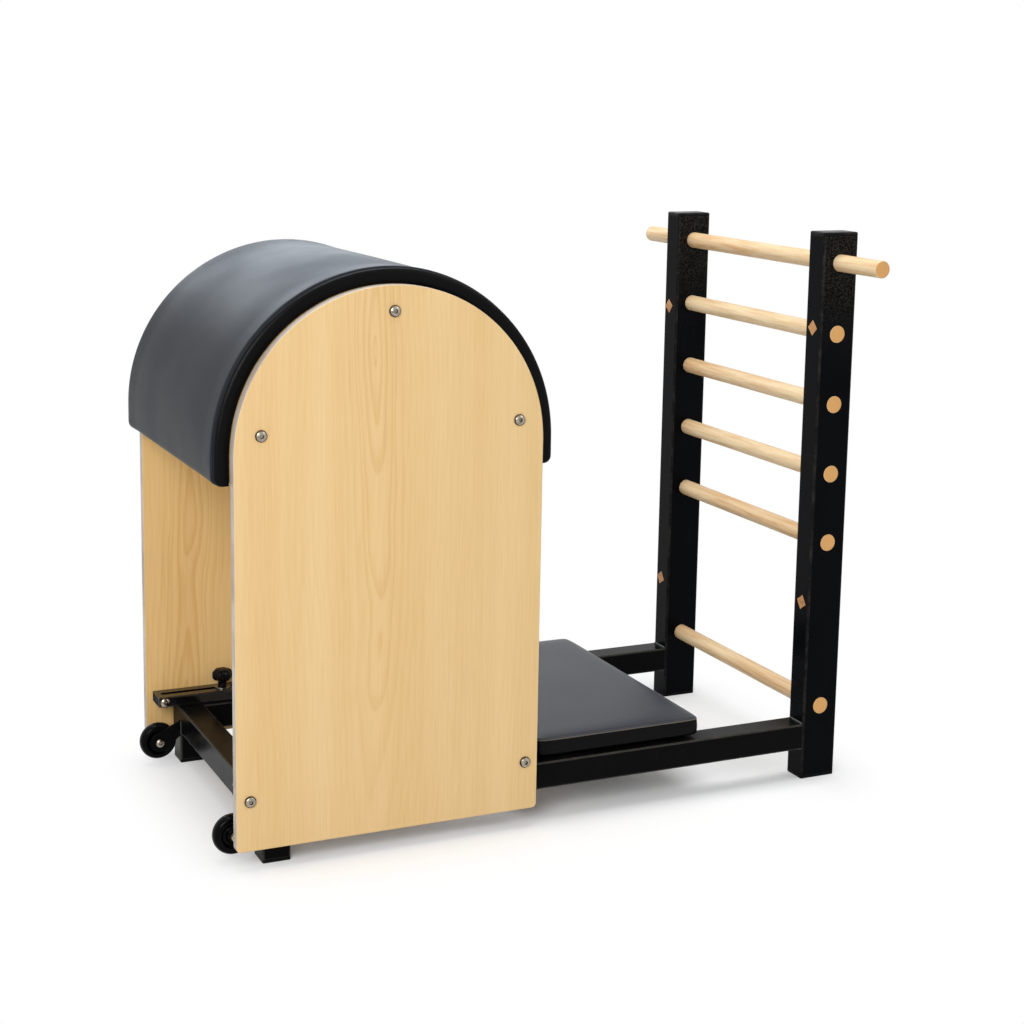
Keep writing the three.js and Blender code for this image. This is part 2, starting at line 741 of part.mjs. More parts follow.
// Drum: the bent shell and the battens under it that the panels are bolted to
function addDrum(parent) {
  const shell = horseshoeShape(shellOuterRadius, shellInnerRadius, shellSkirt);
  addPiece(parent, "drum_shell", extrudedAcross(shell, 2 * drumHalfLength), finishes.plywood,
    0, 0, archCentreZ);
  const ribs = [
    { name: "rib_top", angle: Math.PI / 2 },
    { name: "rib_front", angle: sideBoltAngle },
    { name: "rib_rear", angle: Math.PI - sideBoltAngle },
  ];
  for (const { name, angle } of ribs) {
    const depth = woodGrip + cutOverrun;
    const drills = sides.map(({ sign }) => roundAcross(
      boltDiameter / 2 + boreClearance, 2 * depth,
      boltRing * Math.cos(angle), sign * drumHalfLength, boltRing * Math.sin(angle), boltSides,
    ));
    const batten = extrudedAcross(ribShape(angle), 2 * drumHalfLength);
    addPiece(parent, name, cutFrom(batten, drills), finishes.plywood, 0, 0, archCentreZ);
  }
}

// The pad's section from its inner middle to its crown, as places across and thicknesses
function padHalfSection() {
  const end = drumHalfLength - seatGap;
  const points = [[0, 0], [end - padInnerRadius, 0], [end, padInnerRadius]];
  for (let step = 0; step <= padEdgeSteps; step += 1) {
    const angle = step / padEdgeSteps * Math.PI / 2;
    points.push([
      end - padEdgeRadius * (1 - Math.cos(angle)),
      padEdgeThickness - padEdgeRadius * (1 - Math.sin(angle)),
    ]);
  }
  for (let step = 1; step <= padCrownSteps; step += 1) {
    const share = 1 - step / padCrownSteps;
    points.push([
      (end - padEdgeRadius) * share,
      padCrownThickness - (padCrownThickness - padEdgeThickness) * share ** 3,
    ]);
  }
  return points;
}

// Barrel pad: its crowned section swept up one skirt, over the arch and down the other
function barrelPad() {
  const half = padHalfSection();
  const mirrored = half.slice(1, -1).reverse().map(([across, thick]) => [-across, thick]);
  const section = [...half, ...mirrored];
  const stations = [];
  for (let step = 0; step <= padEndSteps; step += 1) {
    const angle = step / padEndSteps * Math.PI / 2;
    stations.push({
      angle: 0,
      drop: padSkirt - padEndRadius * (1 - Math.cos(Math.PI / 2 - angle)),
      squeeze: padEndRadius * (1 - Math.sin(angle)),
    });
  }
  for (let step = 0; step <= archSteps; step += 1) {
    stations.push({ angle: step / archSteps * Math.PI, drop: 0, squeeze: 0 });
  }
  for (const { drop, squeeze } of stations.slice(0, padEndSteps + 1).reverse()) {
    stations.push({ angle: Math.PI, drop, squeeze });
  }
  const rings = stations.map(({ angle, drop, squeeze }) => section.map(([across, thick]) => {
    const radius = panelHalfWidth + Math.min(thick, thick * (1 - squeeze / padCrownThickness));
    return new THREE.Vector3(
      radius * Math.cos(angle), across, radius * Math.sin(angle) - drop,
    );
  }));
  return lofted(rings);
}

// A flat tube along X, centred, with a plug closing each end
function pluggedTube() {
  const length = 2 * (barHalfLength - barPlugThickness);
  const tube = extrudedAlongX(tubeShape(barWidth, barHeight, barCorner, barWall), length)
    .translate(-length / 2, 0, 0);
  const plug = extrudedAlongX(tubeShape(
    barWidth - 2 * barPlugInset, barHeight - 2 * barPlugInset, barCorner - barPlugInset,
  ), barPlugThickness + fuseDepth);
  const rearPlug = plug.clone().translate(-barHalfLength, 0, 0);
  const frontPlug = plug.clone().translate(length / 2 - fuseDepth, 0, 0);
  return joined([tube, rearPlug, frontPlug]);
}

// Slotted bars that carry the barrel: plugged flat tubes with a slot through both broad walls
function addSlottedBars(parent) {
  const tube = pluggedTube();
  const slotStart = slotRearMargin - barHalfLength;
  const slotMiddle = slotStart + slotLength / 2;
  const boltHole = boltDiameter / 2 + boreClearance;
  for (const { tag, sign } of sides) {
    const slotY = sign * (railCentreY - barCentreY);
    const slot = extrudedUp(tubeShape(slotLength, slotWidth, slotWidth / 2), barHeight + 2 * cutOverrun)
      .translate(slotMiddle, slotY, -barHeight / 2 - cutOverrun);
    const drills = [-lowerBoltX, lowerBoltX].map((x) => (
      roundAcross(boltHole, barWidth + cutOverrun, x, 0, 0, boltSides)
    ));
    addPiece(parent, `slotted_bar_${tag}`, cutFrom(tube, [slot, ...drills]), finishes.glossBar,
      0, sign * barCentreY, barCentreZ);
  }
}

// A ring of the knob's lobed outline, drawn in by an inset, at a height
function knobRing(inset, level) {
  const middle = knobDiameter / 2 - knobLobeDepth / 2 - inset;
  return polygonPoints(1, knobRingSteps).map((direction) => {
    const radius = middle + knobLobeDepth / 2 * Math.cos(knobLobes * direction.angle());
    return new THREE.Vector3(radius * direction.x, radius * direction.y, level);
  });
}

// Clamping knob: a lobed head with bevels and a low crown on a neck, and the stud below it
function clampKnob() {
  const headBottom = knobNeckHeight;
  const headTop = knobNeckHeight + knobHeadHeight;
  const head = lofted([
    knobRing(knobBevel, headBottom),
    knobRing(0, headBottom + knobBevel),
    knobRing(0, headTop - knobBevel - knobCrown),
    knobRing(knobBevel, headTop - knobCrown),
    knobRing(knobDiameter / 4, headTop),
  ]);
  const neckLength = knobNeckHeight + fuseDepth;
  const neck = roundUpright(knobNeckDiameter / 2, neckLength, 0, 0, neckLength / 2, roundSides);
  const studLength = knobBottomZ - railTopZ + railWall + bushDepth + fuseDepth;
  const stud = roundUpright(studDiameter / 2, studLength, 0, 0, fuseDepth - studLength / 2);
  return joined([head, neck, stud]);
}

// Knobs and their washers, which clamp the slotted bars down on the rails
function addClamps(parent) {
  const bore = studDiameter / 2 + boreClearance;
  const washer = turned([
    [bore, 0], [washerDiameter / 2, 0], [washerDiameter / 2, washerThickness],
    [bore, washerThickness], [bore, 0],
  ], roundSides).rotateX(Math.PI / 2);
  for (const { tag, sign } of sides) {
    addPiece(parent, `clamp_washer_${tag}`, washer, finishes.nickel,
      knobX, sign * railCentreY, washerBottomZ);
    addPiece(parent, `clamp_knob_${tag}`, clampKnob(), finishes.blackPlastic,
      knobX, sign * railCentreY, knobBottomZ);
  }
}

const model = new THREE.Group();
model.position.x = -(foremostX + rearmostX) / 2;
addRails(model);
addCrossBeam(model);
addLadder(model);
addWheels(model);
addStep(model);
addGlideStrips(model);
addPanels(model);
addDrum(model);
addPiece(model, "barrel_pad", barrelPad(), finishes.vinyl, 0, 0, archCentreZ);
addSlottedBars(model);
addClamps(model);

const ladderBarrel = new THREE.Group();
ladderBarrel.add(model);

export default ladderBarrel;
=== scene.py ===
"""Looks of a pilates ladder barrel: a padded half-round barrel on arched panels that slides towards a ladder."""

import logging
import math
from dataclasses import dataclass
from enum import Enum
from typing import Callable, Iterable, Sequence

import bmesh
import bpy
import numpy as np
from mathutils import Matrix, Vector


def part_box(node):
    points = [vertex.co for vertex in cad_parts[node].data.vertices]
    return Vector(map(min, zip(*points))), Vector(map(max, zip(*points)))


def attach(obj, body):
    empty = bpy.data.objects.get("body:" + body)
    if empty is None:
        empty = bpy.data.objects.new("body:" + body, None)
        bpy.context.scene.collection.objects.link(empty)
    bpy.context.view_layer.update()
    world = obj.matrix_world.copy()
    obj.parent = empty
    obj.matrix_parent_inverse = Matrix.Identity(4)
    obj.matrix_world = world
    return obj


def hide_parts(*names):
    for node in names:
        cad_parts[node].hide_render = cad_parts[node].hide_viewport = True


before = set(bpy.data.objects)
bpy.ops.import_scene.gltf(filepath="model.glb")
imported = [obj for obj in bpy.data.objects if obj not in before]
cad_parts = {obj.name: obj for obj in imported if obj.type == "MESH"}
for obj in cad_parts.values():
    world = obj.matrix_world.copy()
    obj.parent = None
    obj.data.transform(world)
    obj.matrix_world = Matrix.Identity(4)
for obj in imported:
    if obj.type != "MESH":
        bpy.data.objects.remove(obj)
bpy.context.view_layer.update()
LOG = logging.getLogger("ladder_barrel")
SIDES = (("left", 1.0), ("right", -1.0))
RIGHT_ANGLE = math.pi / 2

Array = np.ndarray
Place = Sequence[float]
Colour = tuple[float, float, float]
Mesh = bpy.types.Mesh
Node = bpy.types.Node
Socket = bpy.types.NodeSocket


def tone(red: int, green: int, blue: int) -> Colour:
    """A screen colour of 0 to 255 as the linear colour a shader takes."""
    shares = np.array([red, green, blue]) / 255.0
    linear = np.where(shares <= 0.04045, shares / 12.92, ((shares + 0.055) / 1.055) ** 2.4)
    return tuple(float(x) for x in linear)


@dataclass(frozen=True)
class Box:
    """The box round a CAD node."""

    low: Array
    high: Array

    @classmethod
    def of(cls, node: str) -> "Box":
        """The box of a node."""
        low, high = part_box(node)
        return cls(np.array(low), np.array(high))

    @property
    def size(self) -> Array:
        """Its three lengths."""
        return self.high - self.low

    @property
    def centre(self) -> Array:
        """Its middle."""
        return (self.low + self.high) / 2

    def side(self, axis: int, sign: float) -> float:
        """Where it ends along an axis, on the side of that sign."""
        return float((self.high if sign > 0 else self.low)[axis])

    def drawn_in(self, margin: Array) -> "Box":
        """The same box with its sides moved in by a margin along each axis."""
        return Box(self.low + margin, self.high - margin)


# ---------------------------------------------------------------- meshes


class Way(Enum):
    """The direction a piece runs in, as the numbers of its two across axes and its long axis."""

    X = (1, 2, 0)
    Y = (2, 0, 1)
    Z = (0, 1, 2)

    def spread(self, across: Array, up: Array, along: Array) -> Array:
        """Points from their places on the two across axes and along the long one."""
        points = np.empty(np.broadcast(across, up, along).shape + (3,))
        for axis, places in zip(self.value, (across, up, along)):
            points[..., axis] = places
        return points

    def around(self, radius: Array, angles: Array, along: Array) -> Array:
        """Points at a radius and an angle about the long axis."""
        return self.spread(radius * np.cos(angles), radius * np.sin(angles), along)


@dataclass
class Shell:
    """A mesh in the making: points, faces, the finish number of each face and how worn each point may be."""

    points: Array
    faces: list
    tags: list
    wear_and_highlight: Array


def joined(*shells: Shell) -> Shell:
    """Several meshes as one, their points numbered on."""
    starts = np.cumsum([0] + [len(shell.points) for shell in shells])
    return Shell(
        np.concatenate([shell.points for shell in shells]),
        [[i + int(start) for i in face] for shell, start in zip(shells, starts) for face in shell.faces],
        [tag for shell in shells for tag in shell.tags],
        np.concatenate([shell.wear_and_highlight for shell in shells]),
    )


def quads_between(here: Array, there: Array) -> Array:
    """Quads from each row of point numbers here to the same row there, the last point of a row to its first."""
    return np.stack([here, np.roll(here, -1, 1), np.roll(there, -1, 1), there], -1).reshape(-1, 4)


def lofted(rings: Array, closed: bool = False, row_tags: Sequence[int] | None = None, cap_tag: int = 0,
           wear_and_highlight: Array | float = 0.0) -> Shell:
    """A skin over closed rings of as many points each, with a flat face on the first and the last ring.

    Args:
        rings: points, as rings by points by 3.
        closed: whether the last ring joins the first instead, as on a washer.
        row_tags: finish number of each band between two rings.
        cap_tag: finish number of the flat faces.
        worn: how far each ring or point stands out to wear, from 0 to 1.

    Returns:
        The skin as a Shell.
    """
    count, around = rings.shape[:2]
    index = np.arange(count * around).reshape(count, around)
    here, there = (index, np.roll(index, -1, axis=0)) if closed else (index[:-1], index[1:])
    faces = quads_between(here, there).tolist()
    tags = np.repeat([0] * len(here) if row_tags is None else row_tags, around).tolist()
    if not closed:
        faces += [index[0][::-1].tolist(), index[-1].tolist()]
        tags += [cap_tag, cap_tag]
    return Shell(rings.reshape(-1, 3), faces, tags, np.broadcast_to(wear_and_highlight, (count, around)).astype(float).ravel())


def turns(steps: int) -> Array:
    """Evenly spaced angles, once round."""
    return np.arange(steps) * 2 * math.pi / steps


def polar(angles: Array) -> Array:
    """Arrows of length 1 in a plane."""
    return np.stack([np.cos(angles), np.sin(angles)], -1)


def quarter(radius: float, steps: int) -> tuple[Array, Array]:
    """A rounded edge in steps: how far each is drawn in, R (1 - sin a), and how deep it lies, R (1 - cos a)."""
    turn = np.linspace(0, RIGHT_ANGLE, steps)
    return radius * (1 - np.sin(turn)), radius * (1 - np.cos(turn))


def ended(low: float, high: float, rim: float, margin: float, steps: int) -> tuple[Array, Array]:
    """How far each ring of a bar with rounded ends is drawn in, and where it lies between low and high.

    One more ring at a margin from each end keeps smooth shading at the edge.
    """
    inset, depth = quarter(rim, steps)
    inset = np.concatenate([[margin], inset, [0.0]])
    depth = np.concatenate([[0.0], depth, [margin]])
    return np.concatenate([inset, inset[::-1]]), np.concatenate([low + depth, high - depth[::-1]])


def rounded_rectangle(width: float, height: float, radius: float, steps: int = 5,
                      ease: float = 0.0006) -> tuple[Array, Array]:
    """The outline of a rectangle with round corners.

    Each corner is a quarter circle about its own centre, with one more point just past each end of it, so
    that smooth shading stays at the corner.

    Returns:
        The points, and 1 for each point on a corner's arc or 0 beside it.
    """
    angles = np.arange(4)[:, None] * RIGHT_ANGLE + np.linspace(0, RIGHT_ANGLE, steps + 1)
    centres = np.array([[1, 1], [-1, 1], [-1, -1], [1, -1]]) * (width / 2 - radius, height / 2 - radius)
    arc = centres[:, None, :] + radius * polar(angles)
    before = arc[:, :1] + ease * polar(angles[:, :1] - RIGHT_ANGLE)
    after = arc[:, -1:] + ease * polar(angles[:, -1:] + RIGHT_ANGLE)
    outline = np.concatenate([before, arc, after], axis=1)
    marks = np.zeros(outline.shape[:2])
    marks[:, 1:-1] = 1
    return outline.reshape(-1, 2), marks.ravel()


def ringed(box: Box, way: Way, corner: float, least: float, insets: Array, places: Array) -> tuple[Array, Array]:
    """Rounded rectangles one after the other along a box.

    Args:
        box: the box.
        way: its long way.
        corner: radius of its long edges.
        least: the smallest radius of a ring that is drawn in.
        insets: how far each ring is drawn in.
        places: where each ring lies along the way.

    Returns:
        The rings, and which points lie on a corner.
    """
    first, second, _ = way.value
    outlines = []
    for inset in insets:
        width, height = box.size[[first, second]] - 2 * inset
        outline, marks = rounded_rectangle(width, height, max(corner - inset, least))
        outlines.append(outline)
    flat = np.stack(outlines) + box.centre[[first, second]]
    return way.spread(flat[..., 0], flat[..., 1], np.array(places)[:, None]), marks


def block(box: Box, way: Way, corner: float, rim: float = 0.0008) -> Shell:
    """A bar that fills a box, with round long edges and softly rounded ends."""
    long = way.value[2]
    insets, places = ended(box.low[long], box.high[long], rim, rim * 1.6, 4)
    rings, marks = ringed(box, way, corner, corner / 3, insets, places)
    ends = np.array([0, 1, 1, 1, 1, 0] * 2)
    return lofted(rings, wear_and_highlight=np.maximum(marks, ends[:, None]))


def turned(profile: Array, way: Way, centre: Place, steps: int = 48, closed: bool = False,
           row_tags: Sequence[int] | None = None, cap_tag: int = 0) -> Shell:
    """A profile carried once round an axis.

    Args:
        profile: rows of radius and height.
        way: the axis.
        centre: the place of radius 0 and height 0.
        steps: points round the axis.
        closed: whether the profile runs round to its own start.
        row_tags: finish number of each band.
        cap_tag: finish number of the end faces.

    Returns:
        The turned skin.
    """
    points = way.around(profile[:, :1], turns(steps), profile[:, 1:])
    return lofted(points + np.array(centre, float), closed, row_tags, cap_tag)


def rounded_profile(corners: Sequence[tuple[float, float, float]], steps: int = 4) -> Array:
    """A profile through corners, each rounded by its own reach.

    The rounding is a curve of second degree between two points at the reach before and after the corner.

    Args:
        corners: radius, height and reach of each corner; the first and last keep their place.
        steps: points on each rounding, less one.

    Returns:
        Rows of radius and height.
    """
    places = np.array([corner[:2] for corner in corners], float)
    made = [places[:1]]
    share = np.linspace(0, 1, steps + 1)[:, None]
    for before, here, after, corner in zip(places[:-2], places[1:-1], places[2:], corners[1:-1]):
        lengths = np.linalg.norm([before - here, after - here], axis=1)
        reach = min(corner[2], *(0.45 * lengths))
        start = here + (before - here) / lengths[0] * reach
        end = here + (after - here) / lengths[1] * reach
        made.append((1 - share) ** 2 * start + 2 * share * (1 - share) * here + share ** 2 * end)
    return np.concatenate([*made, places[-1:]])


def mesh_of(name: str, shell: Shell) -> Mesh:
    """A Blender mesh with the shell's points, faces, finish numbers and wear, its faces pointing outwards."""
    mesh = bpy.data.meshes.new(name)
    mesh.from_pydata(shell.points.tolist(), [], shell.faces)
    mesh.polygons.foreach_set("material_index", shell.tags)
    marked(mesh, "wear_and_highlight", shell.wear_and_highlight)
    work = bmesh.new()
    work.from_mesh(mesh)
    bmesh.ops.recalc_face_normals(work, faces=work.faces)
    work.to_mesh(mesh)
    work.free()
    return mesh


def marked(mesh: Mesh, name: str, values: Array) -> None:
    """Gives each point of a mesh a number that a finish can read."""
    mesh.attributes.new(name, "FLOAT", "POINT").data.foreach_set("value", values.astype(np.float32))


def added(name: str, form: Shell | Mesh, finishes: Sequence["Finish"], body: str, slot: str,
          *nodes: str, crease: float = 38.0) -> bpy.types.Object:
    """Adds a piece in its place, dresses it and makes it ride.

    Args:
        name: the piece's name.
        form: its shell or mesh, in the row frame.
        finishes: the finish for each finish number.
        body: the CAD body it rides on.
        slot: the record's material slot it takes its finish from.
        nodes: the CAD nodes it stands for.
        crease: edges sharper than this many degrees stay sharp.

    Returns:
        The new object.
    """
    mesh = mesh_of(name, form) if isinstance(form, Shell) else form
    mesh.polygons.foreach_set("use_smooth", np.ones(len(mesh.polygons), bool))
    mesh.set_sharp_from_angle(angle=math.radians(crease))
    for finish in finishes:
        mesh.materials.append(finish.material())
    piece = bpy.data.objects.new(name, mesh)
    bpy.context.scene.collection.objects.link(piece)
    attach(piece, body)
    if nodes:
        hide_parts(*nodes)
    LOG.info("%s: %d faces on body %s", name, len(mesh.polygons), body)
    return piece


def dressed(node: str, finish: "Finish") -> None:
    """Gives a CAD node that keeps its own form its finish."""
    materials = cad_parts[node].data.materials
    materials.clear()
    materials.append(finish.material())
    LOG.info("%s keeps its own form in %s", node, finish.name)


def carved(name: str, solid: Shell | Mesh, tools: Shell) -> Mesh:
    """The solid with the tools cut from it, as a new mesh."""
    forms = (mesh_of(name + "_solid", solid) if isinstance(solid, Shell) else solid, mesh_of(name + "_tools", tools))
    things = [bpy.data.objects.new(form.name, form) for form in forms]
    for thing in things:
        bpy.context.scene.collection.objects.link(thing)
    cut = things[0].modifiers.new("cut", "BOOLEAN")
    cut.operation, cut.solver, cut.object = "DIFFERENCE", "EXACT", things[1]
    graph = bpy.context.evaluated_depsgraph_get()
    mesh = bpy.data.meshes.new_from_object(things[0].evaluated_get(graph))
    mesh.materials.clear()
    mesh.name = name
    for thing, form in zip(things, forms):
        bpy.data.objects.remove(thing)
        bpy.data.meshes.remove(form)
    return mesh


CLOTH_FRAMES = 20
CLOTH = {
    "quality": 6, "mass": 0.3, "tension_stiffness": 15, "compression_stiffness": 15, "shear_stiffness": 5,
    "bending_stiffness": 0.5, "use_pressure": True, "uniform_pressure_force": 4.0, "vertex_group_mass": "held",
}


def places_of(mesh: Mesh) -> Array:
    """The places of a mesh's points."""
    flat = np.empty(len(mesh.vertices) * 3, np.float32)
    mesh.vertices.foreach_get("co", flat)
    return flat.reshape(-1, 3)


def inflated(piece: bpy.types.Object, held: Array, most: float) -> None:
    """Lets pressure swell a closed cover, and keeps the result as the piece's own mesh.

    The cover's free points move as cloth for a number of frames. Then every move is scaled by the same share,
    so that the longest is no more than the one allowed.

    Args:
        piece: the cover, slightly smaller than it will be.
        held: the points that stay where they are.
        most: the longest move allowed, in metres.
    """
    scene = bpy.context.scene
    group = piece.vertex_groups.new(name="held")
    group.add(np.flatnonzero(held).tolist(), 1.0, "REPLACE")
    cloth = piece.modifiers.new("cloth", "CLOTH")
    for key, value in CLOTH.items():
        setattr(cloth.settings, key, value)
    cloth.settings.effector_weights.gravity = 0
    cloth.collision_settings.use_collision = False
    cloth.point_cache.frame_start = 1
    cloth.point_cache.frame_end = CLOTH_FRAMES
    for number in range(1, CLOTH_FRAMES + 1):
        scene.frame_set(number)
    graph = bpy.context.evaluated_depsgraph_get()
    before = places_of(piece.data)
    move = places_of(piece.evaluated_get(graph).data) - before
    longest = float(np.linalg.norm(move, axis=1).max())
    LOG.info("%s: the cover swelled by %.1f mm before its cap", piece.name, longest * 1000)
    move *= min(1.0, most / max(longest, 1e-6))
    piece.modifiers.remove(cloth)
    piece.vertex_groups.remove(group)
    scene.frame_set(1)
    piece.data.vertices.foreach_set("co", (before + move).ravel())
    piece.data.update()


def subdivided(piece: bpy.types.Object) -> None:
    """Finishes a piece with one subdivision, in view and in render."""
    finer = piece.modifiers.new("finer", "SUBSURF")
    finer.levels = finer.render_levels = 1


# ---------------------------------------------------------------- shader nodes


class Board:
    """Adds nodes to one tree and joins them."""

    def __init__(self, tree: bpy.types.NodeTree) -> None:
        """Keeps the tree."""
        self.tree = tree

    def node(self, kind: str, **settings) -> Node:
        """One node of a kind, with its settings."""
        made = self.tree.nodes.new("ShaderNode" + kind)
        for key, value in settings.items():
            setattr(made, key, value)
        return made

    def feed(self, socket: Socket, given) -> None:
        """Gives a socket a number, a colour, or what another socket puts out."""
        if isinstance(given, bpy.types.NodeSocket):
            self.tree.links.new(given, socket)
        elif given is not None:
            if socket.type == "RGBA" and len(given) == 3:
                given = (*given, 1.0)
            socket.default_value = given

    def fed(self, made: Node, given: Iterable) -> Node:
        """A node with its first inputs given in order."""
        for socket, value in zip(made.inputs, given):
            self.feed(socket, value)
        return made

    def filled(self, made: Node, **given) -> Node:
        """A node with its inputs given by name."""
        for key, value in given.items():
            self.feed(made.inputs[key], value)
        return made

    def value(self, operation: str, *given) -> Socket:
        """One Math node."""
        return self.fed(self.node("Math", operation=operation), given).outputs[0]

    def plus(self, first, *others) -> Socket:
        """The sum of some values."""
        for other in others:
            first = self.value("ADD", first, other)
        return first

    def times(self, first, *others) -> Socket:
        """The product of some values."""
        for other in others:
            first = self.value("MULTIPLY", first, other)
        return first

    def vector(self, operation: str, *given) -> Socket:
        """One Vector Math node."""
        return self.fed(self.node("VectorMath", operation=operation), given).outputs[0]

    def split(self, given) -> bpy.types.bpy_prop_collection:
        """The three parts of a place or an arrow."""
        return self.fed(self.node("SeparateXYZ"), [given]).outputs

    def facing(self) -> bpy.types.bpy_prop_collection:
        """The three parts of the way a face looks."""
        return self.split(self.node("NewGeometry").outputs["Normal"])

    def mark(self, name: str) -> Socket:
        """A number that each point of the mesh carries."""
        return self.node("Attribute", attribute_name=name).outputs["Fac"]

    def noise(self, place, scale: float = 1.0, detail: float = 2.0, rough: float = 0.5) -> Socket:
        """Smooth noise from 0 to 1 at a place."""
        return self.filled(self.node("TexNoise"), Vector=place, Scale=scale, Detail=detail, Roughness=rough).outputs[0]

    def drawn_out(self, place, factors: Place, detail: float = 2.0, rough: float = 0.5) -> Socket:
        """Noise stretched along some axes: each part of the place is multiplied first."""
        return self.noise(self.vector("MULTIPLY", place, factors), 1.0, detail, rough)

    def eased(self, value, low: float, high: float, to_low: float = 0.0, to_high: float = 1.0) -> Socket:
        """A value carried smoothly from one range to another, and held at its ends."""
        made = self.node("MapRange", interpolation_type="SMOOTHSTEP")
        return self.fed(made, (value, low, high, to_low, to_high)).outputs[0]

    def layered(self, colour, *layers: tuple) -> Socket:
        """A colour with others over it, each by its own share."""
        for share, over in layers:
            made = self.node("Mix", data_type="RGBA")
            self.feed(made.inputs[0], share)
            self.feed(made.inputs[6], colour)
            self.feed(made.inputs[7], over)
            colour = made.outputs[2]
        return colour

    def bumped(self, height, distance: float, strength: float = 1.0, under=None) -> Socket:
        """A normal from a height, on top of another normal if there is one."""
        return self.filled(self.node("Bump"), Strength=strength, Distance=distance, Height=height,
                           Normal=under).outputs[0]


@dataclass(frozen=True)
class Effect:
    """A shared effect: a node group of a place and some numbers, drawn the first time it is used.

    Attributes:
        name: the node group's name.
        numbers: names and usual values of its number inputs.
        results: names of what it puts out, all numbers.
        draw: adds its nodes to a board and says what each result is given.
    """

    name: str
    numbers: dict[str, float]
    results: tuple[str, ...]
    draw: Callable[[Board, bpy.types.bpy_prop_collection], dict[str, Socket]]

    def _tree(self) -> bpy.types.NodeTree:
        """The node group with its sockets and nodes."""
        tree = bpy.data.node_groups.new(self.name, "ShaderNodeTree")
        tree.interface.new_socket(name="Place", in_out="INPUT", socket_type="NodeSocketVector")
        for label, value in self.numbers.items():
            socket = tree.interface.new_socket(name=label, in_out="INPUT", socket_type="NodeSocketFloat")
            socket.default_value = value
        for label in self.results:
            tree.interface.new_socket(name=label, in_out="OUTPUT", socket_type="NodeSocketFloat")
        given, end = tree.nodes.new("NodeGroupInput").outputs, tree.nodes.new("NodeGroupOutput")
        board = Board(tree)
        board.filled(end, **self.draw(board, given))
        return tree

    def on(self, board: Board, place: Socket, **values) -> bpy.types.bpy_prop_collection:
        """The effect's results at a place."""
        tree = bpy.data.node_groups.get(self.name) or self._tree()
        return board.filled(board.node("Group", node_tree=tree), Place=place, **values).outputs


def draw_flat_sawn(board: Board, given: bpy.types.bpy_prop_collection) -> dict[str, Socket]:
    """Growth rings of a flat-sawn board: nested arches, with fibres and broad bands.

    The board cuts a slightly tapered trunk near its heart. A ring's number is the distance
    sqrt(across^2 + (depth + taper * along)^2) over the ring pitch, with both places wandering a little.
    """
    place, wander = given["Place"], given["Wander"]
    across, _, along = board.split(place)
    sway, heave, shiver = (
        board.value("SUBTRACT", board.drawn_out(place, factors, detail), 0.5)
        for factors, detail in (((3.2, 3.2, 1.1), 2.5), ((4.1, 4.1, 1.7), 2.0), ((30, 30, 7), 2.0))
    )
    side = board.plus(across, board.times(sway, wander), board.times(shiver, wander, 0.06))
    deep = board.plus(board.times(along, given["Taper"]), given["Depth"], board.times(heave, wander, 1.6))
    reach = board.value("SQRT", board.plus(board.times(side, side), board.times(deep, deep)))
    ring = board.value("DIVIDE", reach, given["Pitch"])
    year = board.filled(board.node("TexNoise", noise_dimensions="1D"), W=board.times(ring, 0.33), Scale=1.0, Detail=1.0)
    part = board.value("FRACT", board.plus(ring, board.times(year.outputs[0], 2.2)))
    late = board.value("SUBTRACT", board.eased(part, 0.12, 0.86), board.eased(part, 0.88, 1.0))
    return {
        "Rings": board.value("POWER", late, 1.6),
        "Fibre": board.drawn_out(place, (430, 430, 9), 3.0, 0.65),
        "Bands": board.drawn_out(place, (13, 13, 0.55)),
        "Heart": board.eased(reach, 0.012, 0.085, 1.0, 0.0),
    }


def draw_pebbles(board: Board, given: bpy.types.bpy_prop_collection) -> dict[str, Socket]:
    """Leather-like pebbles: cells pressed apart by fine valleys, with a slow mottle over them."""
    place = given["Place"]
    swirl = board.noise(place, 160).node.outputs["Color"]
    warped = board.vector("MULTIPLY_ADD", swirl, (0.0016, 0.0016, 0.0016), place)
    cell = board.filled(board.node("TexVoronoi", feature="DISTANCE_TO_EDGE"), Vector=warped, Scale=given["Fineness"])
    return {
        "Height": board.eased(cell.outputs[0], 0.0, 0.24),
        "Mottle": board.noise(place, 5.5, 3.0),
        "Creases": board.drawn_out(place, (48, 11, 48), 3.0, 0.6),
    }


def draw_powder(board: Board, given: bpy.types.bpy_prop_collection) -> dict[str, Socket]:
    """Powder coat: a fine orange-peel swell with a few pale specks."""
    place, fineness = given["Place"], given["Fineness"]
    grit = board.filled(board.node("TexVoronoi", feature="F1"), Vector=place, Scale=board.times(fineness, 0.55))
    speck = board.eased(grit.outputs[0], 0.10, 0.26, 1.0, 0.0)
    return {
        "Height": board.noise(place, fineness, 1.5),
        "Specks": board.times(speck, board.eased(board.noise(place, 14, 3), 0.45, 0.7)),
        "Haze": board.noise(place, 6.0, 4.0, 0.6),
    }


def draw_wear(board: Board, given: bpy.types.bpy_prop_collection) -> dict[str, Socket]:
    """Wear where a piece's worn mark and a broken noise are both high."""
    patch = board.eased(board.noise(given["Place"], 34, 5.0, 0.7), 0.42, 0.68)
    return {"Wear": board.times(patch, board.eased(given["Mark"], 0.35, 1.0), given["Amount"])}


def draw_dust(board: Board, given: bpy.types.bpy_prop_collection) -> dict[str, Socket]:
    """Thin dust on faces that look up, in soft patches."""
    drift = board.eased(board.noise(given["Place"], 11, 5.0, 0.65), 0.35, 0.75)
    return {"Dust": board.times(board.eased(board.facing()[2], 0.3, 1.0), drift, given["Amount"])}


